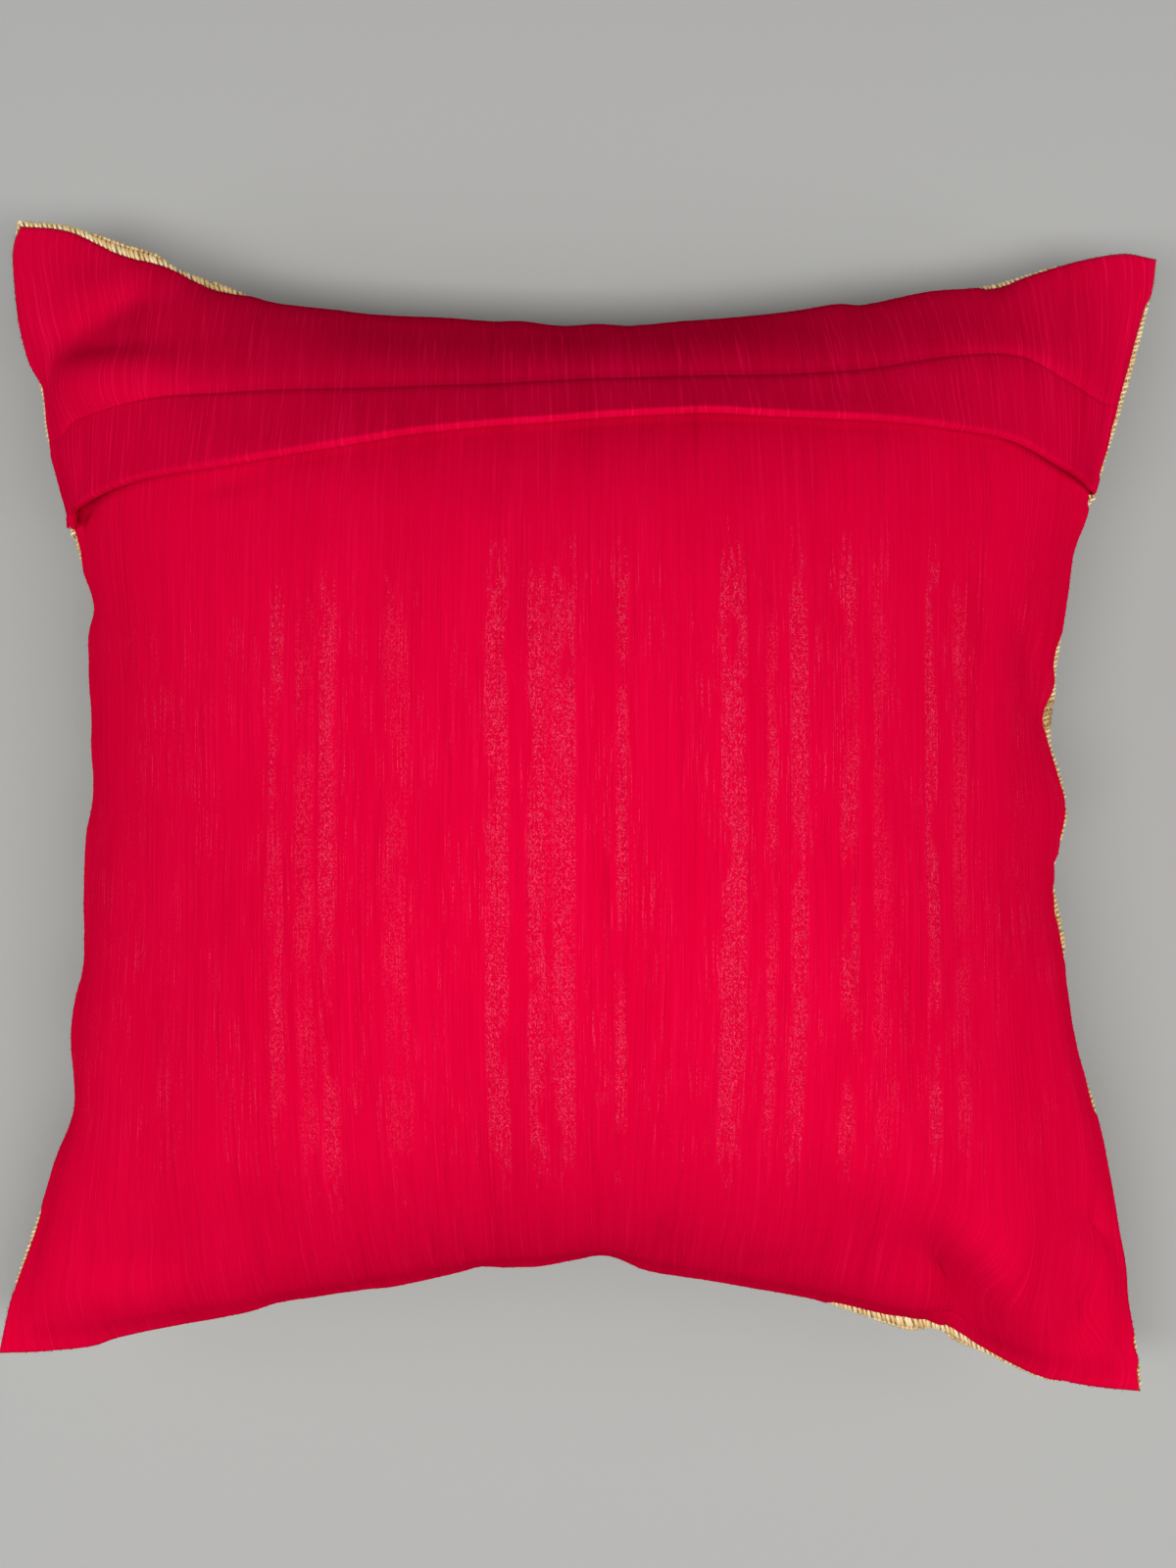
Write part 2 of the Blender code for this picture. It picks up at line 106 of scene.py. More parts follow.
# Front cloth showing beside the back cloth, on each side: share, width.
STRIPS_TOP = (
    (0.0, 1.7), (0.047, 1.9), (0.07, 3.2), (0.08, 3.8), (0.105, 4.1), (0.122, 3.2), (0.134, 1.4),
    (0.141, 1.0), (0.15, 1.7), (0.171, 2.9), (0.188, 2.2), (0.2, 0.7), (0.206, 0.0), (0.843, 0.0),
    (0.85, 1.2), (0.868, 1.5), (0.88, 0.7), (0.905, 0.5), (0.93, 0.0),
)
STRIPS_RIGHT = (
    (0.033, 0.0), (0.04, 1.0), (0.07, 1.6), (0.10, 1.9), (0.15, 1.6), (0.165, 1.0), (0.19, 1.1),
    (0.197, 0.0), (0.204, 0.0), (0.208, 1.0), (0.217, 0.9), (0.222, 0.0), (0.331, 0.0),
    (0.343, 1.1), (0.353, 1.6), (0.369, 0.7), (0.379, 0.6), (0.385, 1.2), (0.394, 2.7),
    (0.403, 3.2), (0.412, 2.9), (0.42, 1.8), (0.436, 1.0), (0.462, 1.1), (0.478, 0.7),
    (0.492, 0.9), (0.513, 0.9), (0.52, 0.0), (0.529, 0.0), (0.531, 0.6), (0.535, 0.6),
    (0.537, 0.0), (0.552, 0.0), (0.555, 0.8), (0.562, 0.9), (0.569, 1.3), (0.584, 2.0),
    (0.59, 1.3), (0.598, 1.6), (0.608, 1.3), (0.615, 0.6), (0.622, 0.5), (0.625, 0.0),
    (0.722, 0.0), (0.73, 0.5), (0.745, 1.0), (0.754, 0.8), (0.758, 0.0), (0.952, 0.0),
    (0.956, 0.8), (0.966, 0.6), (0.97, 0.0), (0.977, 0.0), (0.982, 0.8), (0.998, 0.7), (1.0, 0.5),
)
STRIPS_BOTTOM = (
    (0.722, 0.0), (0.727, 1.0), (0.736, 1.7), (0.752, 2.3), (0.776, 3.2), (0.793, 4.5),
    (0.809, 3.5), (0.822, 1.5), (0.829, 3.2), (0.837, 3.4), (0.846, 2.9), (0.862, 1.6),
    (0.882, 1.0), (0.901, 0.6), (0.932, 0.4), (0.94, 0.0),
)
STRIPS_LEFT = (
    (0.0, 1.0), (0.012, 0.0), (0.135, 0.0), (0.142, 0.8), (0.16, 0.9), (0.19, 1.0), (0.198, 0.6),
    (0.204, 0.0), (0.266, 0.0), (0.272, 1.0), (0.288, 1.0), (0.298, 0.5), (0.303, 0.0),
    (0.868, 0.0), (0.874, 0.7), (0.89, 1.1), (0.91, 1.0), (0.93, 0.7), (0.946, 0.3), (0.95, 0.0),
)

# Small bends of the outline on each side, beyond what the seam tables give: share, draw-in.
BENDS_TOP = (
    (0.00, -0.5), (0.04, -0.5), (0.09, 0.1), (0.12, -1.0), (0.14, 0.8), (0.18, -0.1), (0.22, 0.9),
    (0.27, 0.0), (0.32, 0.6), (0.38, 0.2), (0.42, 0.5), (0.44, -0.2), (0.48, 1.1), (0.51, 0.2),
    (0.54, 1.2), (0.58, 0.3), (0.68, 0.1), (0.72, -0.6), (0.742, 1.1), (0.80, -0.8), (0.85, 0.5),
    (0.90, -0.1), (0.95, -0.1), (1.00, -0.6),
)
BENDS_RIGHT = (
    (0.00, -1.0), (0.04, -0.3), (0.09, -1.1), (0.14, 0.2), (0.20, 0.7), (0.23, -0.2), (0.26, 0.7),
    (0.29, 0.1), (0.36, 0.7), (0.38, -0.6), (0.43, 1.1), (0.46, 0.6), (0.50, -0.4), (0.545, 1.3),
    (0.565, 0.8), (0.60, -0.8), (0.63, 0.2), (0.70, 0.7), (0.74, 0.1), (0.80, 0.8), (0.85, 0.2),
    (0.89, -0.6), (0.92, 0.1), (0.96, -1.0), (1.00, -1.5),
)
BENDS_BOTTOM = (
    (0.00, -0.8), (0.04, -0.2), (0.08, -1.5), (0.10, -0.3), (0.14, 0.4), (0.20, 0.5), (0.22, 0.9),
    (0.24, 2.2), (0.28, 1.9), (0.32, 1.3), (0.34, 0.4), (0.39, 0.6), (0.42, 1.7), (0.44, 0.3),
    (0.47, -0.9), (0.50, 0.6), (0.525, 2.6), (0.54, 2.3), (0.56, 0.7), (0.61, 1.1), (0.67, 0.8),
    (0.72, 1.2), (0.78, 0.6), (0.80, -0.9), (0.82, 0.1), (0.84, -0.6), (0.87, 0.2), (0.92, -1.2),
    (0.94, -0.2), (0.98, -1.2), (1.00, -1.6),
)
BENDS_LEFT = (
    (0.00, -0.9), (0.06, 0.2), (0.12, -1.4), (0.14, 1.1), (0.18, 0.5), (0.22, 2.0), (0.25, 2.0),
    (0.30, 0.0), (0.335, 1.7), (0.36, -0.7), (0.385, -0.2), (0.43, 1.7), (0.46, 1.6), (0.50, 2.4),
    (0.54, 0.0), (0.60, 0.5), (0.62, 1.5), (0.66, 2.8), (0.68, 1.8), (0.72, 1.5), (0.79, 1.4),
    (0.82, -0.1), (0.86, 0.5), (0.91, 0.2), (0.96, -1.2), (1.00, -1.9),
)

# Free edge of the flap: share of the width, share of the height at which the edge lies,
# how far it stands off the panel, depth of the hem behind it.
FLAP_EDGE = (
    (0.00, 0.735, 0.2, 30.0), (0.015, 0.7360, 0.3, 29.7), (0.03, 0.7430, 0.7, 29.3),
    (0.05, 0.7540, 1.4, 29.0), (0.11, 0.7765, 1.4, 30.0), (0.18, 0.796, 0.8, 29.0),
    (0.25, 0.8135, 0.4, 28.0), (0.32, 0.832, 0.3, 24.5), (0.40, 0.8485, 0.3, 21.0),
    (0.50, 0.8595, 0.3, 20.5), (0.60, 0.8615, 0.3, 19.5), (0.73, 0.8485, 0.3, 24.0),
    (0.83, 0.8385, 0.5, 32.0), (0.88, 0.829, 0.7, 34.0), (0.93, 0.81, 0.8, 31.0),
    (0.97, 0.799, 0.6, 29.0), (1.00, 0.793, 0.3, 31.0),
)

# Cloth that stands out beyond the seam, in panel thicknesses: share of the side, layers.
LAYERS_TOP = ((0.0, 0.8), (0.15, 1.1), (0.30, 1.5), (0.70, 1.5), (0.85, 1.1), (1.0, 0.8))
LAYERS_RIGHT = (
    (0.0, 0.8), (0.03, 0.8), (0.075, 1.6), (0.203, 1.7), (0.222, 1.0), (1.0, 1.0),
)
LAYERS_BOTTOM = ((0.0, 1.0), (1.0, 1.0))
LAYERS_LEFT = (
    (0.0, 0.8), (0.03, 0.8), (0.09, 1.6), (0.253, 1.7), (0.272, 1.0), (1.0, 1.0),
)

# Folds of the back: x, y, heading in degrees, half length, half width, height.
BACK_FOLDS = (
    (-175.0, 153.8, 18.0, 15.0, 8.0, -4.0), (-156.5, 166.5, 53.0, 15.0, 8.0, -3.5),
    (-166.0, 140.5, -3.0, 26.0, 8.5, 4.0), (-172.0, 180.0, -8.0, 16.0, 5.5, -1.8),
    (170.0, 181.0, 15.0, 13.0, 6.0, -2.0), (177.0, 150.0, 75.0, 14.0, 6.0, -1.2),
    (-163.0, 88.0, 84.0, 20.0, 6.0, -2.0), (144.0, 50.0, -68.0, 22.0, 8.0, -3.5),
    (105.0, -141.0, -10.0, 26.0, 16.0, -4.5), (121.0, -141.0, -50.0, 20.0, 8.0, -3.5),
    (131.0, -160.0, -67.0, 18.0, 8.0, -3.0), (134.0, -139.0, -53.0, 16.0, 7.5, 3.5),
    (145.0, -158.0, -69.0, 16.0, 7.5, 3.0), (175.0, -138.5, -36.0, 15.0, 6.5, -3.5),
    (172.5, -171.0, -85.0, 14.0, 5.5, -2.0), (29.0, -137.0, 86.0, 16.0, 7.0, -2.0),
    (-178.0, -150.0, 70.0, 26.0, 7.0, -2.5), (-140.0, -148.0, 40.0, 30.0, 10.0, -2.5),
    (60.0, 30.0, 12.0, 70.0, 44.0, 2.0), (-70.0, -40.0, -20.0, 70.0, 50.0, 2.2),
)
FRONT_FOLDS = (
    (-150.0, 150.0, -45.0, 36.0, 9.0, 4.0), (150.0, 150.0, 45.0, 36.0, 9.0, 4.0),
    (150.0, -150.0, -45.0, 36.0, 9.0, 4.0), (-150.0, -150.0, 45.0, 36.0, 9.0, 4.0),
)

# Sharp creases that the cloth takes between its folds, in the same columns.
BACK_CREASES = (
    (-167.0, 145.5, 6.0, 22.0, 6.5, -3.0), (-165.0, 135.5, 0.0, 25.0, 6.0, 2.4),
    (-152.0, 160.0, 40.0, 18.0, 8.0, -1.6), (29.0, -137.0, 88.0, 16.0, 5.0, -1.0),
    (66.0, -143.0, 27.0, 10.0, 5.0, -1.0), (129.0, -157.0, -64.0, 26.0, 11.0, -4.4),
    (147.0, -150.0, -66.0, 30.0, 11.0, 4.2), (170.8, -168.0, -76.0, 17.0, 6.5, -3.0),
    (175.0, -136.5, -48.0, 17.0, 10.0, -2.8), (100.0, -112.0, 0.0, 38.0, 26.0, 4.2),
    (-90.0, -118.0, 0.0, 55.0, 22.0, 2.6), (-150.0, -166.0, 12.0, 30.0, 9.0, 2.6),
    (-172.0, -172.0, 30.0, 18.0, 6.0, 2.0), (24.5, 108.5, 68.0, 12.0, 2.6, -0.6),
    (-168.5, 84.5, 74.0, 11.0, 1.5, -1.3), (-112.0, 99.0, 10.0, 11.0, 4.0, -0.9),
)

# Dents of the panel that the flap spans without following them, in the same columns.
PANEL_DENTS = ((-166.3, 93.5, 35.0, 6.0, 3.0, -3.2),)


def mixed(first: Array, second: Array, share: Array) -> Array:
    """Points between two sets of points, at a share of the way."""
    return between(first, second, np.asarray(share)[..., None])


def between(low: Array, high: Array, share: Array) -> Array:
    """Amount between a low and a high one, at a share of the way."""
    return low + (high - low) * share


def stage_up(value: Array, start: float, width: float) -> Array:
    """Runs smoothly from 0 before a start to 1 past its width."""
    share = np.clip((value - start) / width, 0.0, 1.0)
    return share * share * (3.0 - 2.0 * share)


def smooth_column(rows: Sequence[Sequence[float]], column: int, share: Array) -> Array:
    """Reads a table's column at shares along it.

    Args:
        rows: The table, whose first column is the share.
        column: The column to read.
        share: Where to read it.

    Returns:
        The values, on a smooth curve through the rows.
    """
    knots = np.array([row[0] for row in rows])
    values = np.array([row[column] for row in rows])
    share = np.asarray(share, float)
    last = len(knots) - 1
    step = np.clip(np.searchsorted(knots, share, side="left") - 1, 0, last - 1)
    before, after = np.maximum(step - 1, 0), np.minimum(step + 2, last)
    width = knots[step + 1] - knots[step]
    along = (share - knots[step]) / width
    leave = (values[step + 1] - values[before]) / (knots[step + 1] - knots[before]) * width
    arrive = (values[after] - values[step]) / (knots[after] - knots[step]) * width
    return (
        values[step] * (2 * along**3 - 3 * along**2 + 1)
        + leave * (along**3 - 2 * along**2 + along)
        + values[step + 1] * (3 * along**2 - 2 * along**3)
        + arrive * (along**3 - along**2)
    )


def fold_height(folds: Sequence[Sequence[float]], x: Array, y: Array) -> Array:
    """Adds up a table of soft troughs and ridges.

    Args:
        folds: Rows of x, y, heading in degrees, half length, half width and height.
        x: Where to read them, across.
        y: Where to read them, up.

    Returns:
        The height that the folds add at each place.
    """
    total = np.zeros_like(x)
    for fold_x, fold_y, heading, half_length, half_width, height in folds:
        turn = math.radians(heading)
        along = (x - fold_x) * math.cos(turn) + (y - fold_y) * math.sin(turn)
        aside = (y - fold_y) * math.cos(turn) - (x - fold_x) * math.sin(turn)
        total = total + height * np.exp(-((along / half_length) ** 2) - (aside / half_width) ** 2)
    return total


def crowded(count: int, amount: float) -> Array:
    """Shares of a width at which cells end, closer near both ends.

    Args:
        count: Number of cells.
        amount: How strongly they crowd, from 0 to below 1.

    Returns:
        The count + 1 shares from 0 to 1.
    """
    even = np.linspace(0.0, 1.0, count + 1)
    return even - amount * np.sin(2.0 * math.pi * even) / (2.0 * math.pi)


@dataclass(frozen=True)
class Side:
    """One side of the cover, with its seam and the softness of its shoulder.

    The broad curve of the draw-in has its depth at the middle, its sharpness, and its skew
    towards the end. The inward turn is 1 where the middle of the cover lies to the left of
    the way from the side's start to its end, and -1 where it lies to the right.
    """

    start: Pair
    end: Pair
    rows: tuple[tuple[float, ...], ...]
    strips: tuple[Pair, ...]
    layers: tuple[Pair, ...]
    bends: tuple[Pair, ...]
    broad: tuple[float, float, float]
    shoulder: float
    inward_turn: float
    shoulder_at_tip: float = 70.0
    tip_sharpness: float = 2.6
    crown_rise: float = CROWN_RISE
    layer_cover: float = 1.06
    bend_fade: float = 24.0
    small_bend_fade: float = 11.0

    @property
    def length(self) -> float:
        """Straight distance between the side's tips."""
        return math.dist(self.start, self.end)

    @property
    def inward(self) -> Array:
        """Direction from the side towards the middle of the cover."""
        line = (np.array(self.end) - np.array(self.start)) / self.length
        return np.array([-line[1], line[0]]) * self.inward_turn

    @property
    def outward(self) -> Array:
        """Level direction in space, away from the middle of the cover."""
        return np.append(-self.inward, 0.0)

    @property
    def ahead(self) -> Array:
        """Level direction in space, along the side."""
        return np.append(np.array([self.inward[1], -self.inward[0]]), 0.0)

    def strip_width(self, share: Array) -> Array:
        """Width of the front cloth that shows beside the back."""
        rows = np.array(self.strips)
        return np.interp(share, rows[:, 0], rows[:, 1])

    def rise_length(self, share: Array) -> Array:
        """Distance over which the cover rises from this side's seam."""
        towards_tip = np.abs(2.0 * share - 1.0) ** self.tip_sharpness
        return between(self.shoulder, self.shoulder_at_tip, towards_tip)

    def stand_out(self, share: Array) -> Array:
        """How far the back cloth's thickness carries it outward beyond the seam."""
        from_start = 1.0 - np.exp(-share * self.length / self.shoulder_at_tip)
        from_end = 1.0 - np.exp(-(1.0 - share) * self.length / self.shoulder_at_tip)
        slope = np.arctan(self.crown_rise * from_start * from_end / self.rise_length(share))
        rows = np.array(self.layers)
        return self.layer_cover * np.interp(share, rows[:, 0], rows[:, 1]) * np.sin(slope)

    def draw_in(self, share: Array) -> Array:
        """How far the seam is drawn in from the line between the side's tips."""
        outline = smooth_column(self.rows, 1, share) + smooth_column(self.bends, 1, share)
        return outline + self.strip_width(share) + self.stand_out(share)

    def broad_draw_in(self, share: Array) -> Array:
        """Draw-in of the broad curve that the seam follows, without its small bends."""
        depth, sharpness, skew = self.broad
        hump = np.maximum(4.0 * share * (1.0 - share), 0.0) ** sharpness
        return depth * hump * (1.0 + skew * (2.0 * share - 1.0))

    def curve(self, share: Array, draw_in: Array) -> Array:
        """Points along the side that are drawn in by given lengths, at the seam's height."""
        plan = mixed(np.array(self.start), np.array(self.end), share)
        plan = plan + self.inward * draw_in[..., None]
        height = smooth_column(self.rows, 2, share)
        return np.concatenate([plan, height[..., None]], axis=-1)

    def seam(self, share: Array) -> Array:
        """Points of the seam."""
        share = np.asarray(share, float)
        return self.curve(share, self.draw_in(share))

    def broad_seam(self, share: Array) -> Array:
        """Points of the broad curve that the seam follows."""
        share = np.asarray(share, float)
        return self.curve(share, self.broad_draw_in(share))

    def bend(self, share: Array, inset: Array) -> Array:
        """How far the seam's bends still move the cloth at a distance inside it."""
        outline = smooth_column(self.rows, 1, share)
        wide = (outline - self.broad_draw_in(share)) * np.exp(-inset / self.bend_fade)
        small = (self.draw_in(share) - outline) * np.exp(-inset / self.small_bend_fade)
        return np.append(self.inward, 0.0) * (wide + small)[..., None]


TOP = Side(
    TIP_TOP_LEFT, TIP_TOP_RIGHT, SEAM_TOP, STRIPS_TOP, LAYERS_TOP, BENDS_TOP,
    broad=(29.3, 1.3, -0.31), shoulder=44.0, inward_turn=-1.0,
)
RIGHT = Side(
    TIP_TOP_RIGHT, TIP_BOTTOM_RIGHT, SEAM_RIGHT, STRIPS_RIGHT, LAYERS_RIGHT, BENDS_RIGHT,
    broad=(32.6, 1.6, -0.33), shoulder=46.0, inward_turn=-1.0,
)
BOTTOM = Side(
    TIP_BOTTOM_LEFT, TIP_BOTTOM_RIGHT, SEAM_BOTTOM, STRIPS_BOTTOM, LAYERS_BOTTOM, BENDS_BOTTOM,
    broad=(36.7, 1.8, 0.14), shoulder=46.0, inward_turn=1.0,
)
LEFT = Side(
    TIP_TOP_LEFT, TIP_BOTTOM_LEFT, SEAM_LEFT, STRIPS_LEFT, LAYERS_LEFT, BENDS_LEFT,
    broad=(27.9, 1.4, 0.23), shoulder=46.0, inward_turn=1.0,
)
SIDES = (TOP, RIGHT, BOTTOM, LEFT)


@dataclass
class CoverShape:
    """The filled cover's two faces, between the four seams.

    The thread line gives where the middle thread runs: its x at the middle, and how far x
    goes for each unit of y.
    """

    crown_rise: float = CROWN_RISE
    front_depth: float = 80.0
    seam_drop: float = 2.4
    fold_fade: float = 8.0
    normal_step: float = 0.003
    map_cells: int = 120
    thread_line: Pair = (3.0, -0.0227)
    back_shift: Array | None = None
    front_shift: Array | None = None
    cloth_map: Array = field(init=False)

    def __post_init__(self) -> None:
        """Measures the cloth from its middle along its threads."""
        even = np.linspace(0.0, 1.0, self.map_cells + 1)
        across, up = np.meshgrid(even, even)
        points = self.back(across, up)
        run = np.linalg.norm(np.diff(points, axis=1), axis=2).cumsum(axis=1)
        rise = np.linalg.norm(np.diff(points, axis=0), axis=2).cumsum(axis=0)
        run = np.pad(run, ((0, 0), (1, 0)))
        rise = np.pad(rise, ((1, 0), (0, 0)))
        middle = self.map_cells // 2
        line = self.thread_line[0] + self.thread_line[1] * points[:, middle, 1]
        zero = [np.interp(line[row], points[row, :, 0], run[row]) for row in range(len(run))]
        run = run - np.array(zero)[:, None]
        rise = rise - rise[middle : middle + 1, :]
        self.cloth_map = np.stack([run, rise], axis=-1)

    def seam_sheet(self, across: Array, up: Array) -> Array:
        """Points of the sheet stretched between the seams, before the filling lifts it."""
        top, bottom = TOP.broad_seam(across), BOTTOM.broad_seam(across)
        left, right = LEFT.broad_seam(1.0 - up), RIGHT.broad_seam(1.0 - up)
        low = mixed(BOTTOM.broad_seam(0.0), BOTTOM.broad_seam(1.0), across)
        high = mixed(TOP.broad_seam(0.0), TOP.broad_seam(1.0), across)
        points = mixed(bottom, top, up) + mixed(left, right, across) - mixed(low, high, up)
        for side, share, inset in self.by_side(across, up):
            points = points + side.bend(share, inset)
        return points

    def spans(self, across: Array, up: Array) -> tuple[Array, Array]:
        """Straight width and height of the cover through each place."""
        run = RIGHT.broad_seam(1.0 - up) - LEFT.broad_seam(1.0 - up)
        rise = TOP.broad_seam(across) - BOTTOM.broad_seam(across)
        return np.linalg.norm(run, axis=-1), np.linalg.norm(rise, axis=-1)

    def by_side(self, across: Array, up: Array) -> list[tuple[Side, Array, Array]]:
        """Each side, with the share along it and the distance inside it."""
        width, height = self.spans(across, up)
        return [
            (LEFT, 1.0 - up, across * width),
            (RIGHT, 1.0 - up, (1.0 - across) * width),
            (BOTTOM, across, up * height),
            (TOP, across, (1.0 - up) * height),
        ]

    def fullness(self, across: Array, up: Array) -> Array:
        """How far the filling lifts the cloth, from 0 at the seams to 1 at the crown."""
        full = 1.0
        for side, share, inset in self.by_side(across, up):
            full = full * (1.0 - np.exp(-inset / side.rise_length(share)))
        return full

    def back(self, across: Array, up: Array) -> Array:
        """Upper face of the filled front, on which the back cloth lies."""
        points = self.seam_sheet(across, up)
        full = self.fullness(across, up)
        x, y = points[..., 0], points[..., 1]
        folds = fold_height(BACK_FOLDS + BACK_CREASES + PANEL_DENTS, x, y)
        fade = np.minimum(1.0, full * self.fold_fade)
        points[..., 2] += self.crown_rise * full + folds * fade
        if self.back_shift is not None:
            points = points + grid_read(self.back_shift, across, up)
        return points

    def front(self, across: Array, up: Array) -> Array:
        """Lower face of the filled front, pressed flat where it rests."""
        points = self.seam_sheet(across, up)
        full = self.fullness(across, up)
        folds = fold_height(FRONT_FOLDS, points[..., 0], points[..., 1])
        fade = np.minimum(1.0, full * self.fold_fade)
        points[..., 2] += folds * fade - self.seam_drop - self.front_depth * full
        if self.front_shift is not None:
            points = points + grid_read(self.front_shift, across, up)
        points[..., 2] = np.maximum(points[..., 2], 0.0)
        return points

    def normal(self, across: Array, up: Array) -> Array:
        """Directions that face out of the back."""
        step = self.normal_step
        left, right = np.maximum(across - step, 0.0), np.minimum(across + step, 1.0)
        low, high = np.maximum(up - step, 0.0), np.minimum(up + step, 1.0)
        run = self.back(right, up) - self.back(left, up)
        rise = self.back(across, high) - self.back(across, low)
        out = np.cross(run, rise)
        return out / np.linalg.norm(out, axis=-1, keepdims=True)

    def on_back(self, across: Array, up: Array, stand_off: Array) -> Array:
        """Points that stand a given distance off the back."""
        off = np.asarray(stand_off, float)[..., None] * np.ones(3)
        return self.back(across, up) + self.normal(across, up) * off

    def cloth_place(self, across: Array, up: Array) -> Array:
        """Place in the flat cloth along its threads from the middle, and along its side."""
        place = grid_read(self.cloth_map, across, up)
        width, height = self.spans(across, up)
        beside = np.minimum(across, 1.0 - across) * width
        level = np.minimum(up, 1.0 - up) * height
        along = np.where(level < beside, place[..., 0], place[..., 1])
        return np.concatenate([place, along[..., None]], axis=-1)

    def seam_distance(self, across: Array, up: Array, sides: Sequence[Side]) -> Array:
        """Distance to the nearest of the given sides' seams."""
        insets = [inset for side, _, inset in self.by_side(across, up) if side in sides]
        return np.minimum.reduce(insets)


def grid_read(values: Array, across: Array, up: Array) -> Array:
    """Reads an even grid of values between its points.

    Args:
        values: Values by row and column, over shares of the height and width.
        across: Shares of the width to read at.
        up: Shares of the height to read at.

    Returns:
        The values, on a smooth cubic surface.
    """

    def weights(share: Array, count: int) -> tuple[Array, list[Array]]:
        """First grid step at or before each share, and the four points' weights there."""
        place = np.clip(share, 0.0, 1.0) * count
        step = np.minimum(place.astype(int), count - 1)
        t = place - step
        parts = [
            (-t + 2.0 * t**2 - t**3) / 2.0,
            (2.0 - 5.0 * t**2 + 3.0 * t**3) / 2.0,
            (t + 4.0 * t**2 - 3.0 * t**3) / 2.0,
            (t**3 - t**2) / 2.0,
        ]
        return step, parts

    rows, columns = values.shape[0] - 1, values.shape[1] - 1
    column, column_parts = weights(np.asarray(across, float), columns)
    row, row_parts = weights(np.asarray(up, float), rows)
    total = 0.0
    for row_step, row_part in enumerate(row_parts, start=-1):
        for column_step, column_part in enumerate(column_parts, start=-1):
            found = values[
                np.clip(row + row_step, 0, rows), np.clip(column + column_step, 0, columns)
            ]
            total = total + found * (row_part * column_part)[..., None]
    return total


def linked(name: str, data: bpy.types.ID) -> Piece:
    """Puts a new object into the scene."""
    piece = bpy.data.objects.new(name, data)
    bpy.context.scene.collection.objects.link(piece)
    return piece


def new_mesh(name: str, points: Array, faces: Sequence[Sequence[int]]) -> Piece:
    """Makes a smooth mesh object and puts it into the scene."""
    mesh = bpy.data.meshes.new(name)
    mesh.from_pydata(points.tolist(), [], faces)
    mesh.shade_smooth()
    mesh.validate()
    return linked(name, mesh)


def cell_corners(number: Array) -> Array:
    """Corners of the cells of a grid of numbered points, counter-clockwise from above."""
    cells = [number[:-1, :-1], number[:-1, 1:], number[1:, 1:], number[1:, :-1]]
    return np.stack(cells, axis=-1).reshape(-1, 4)


def placed(points: Array) -> Array:
    """Points of the tables' plan as points of the shared frame, in metres."""
    return (points + np.array([PLAN_SHIFT[0], PLAN_SHIFT[1], 0.0])) * MM


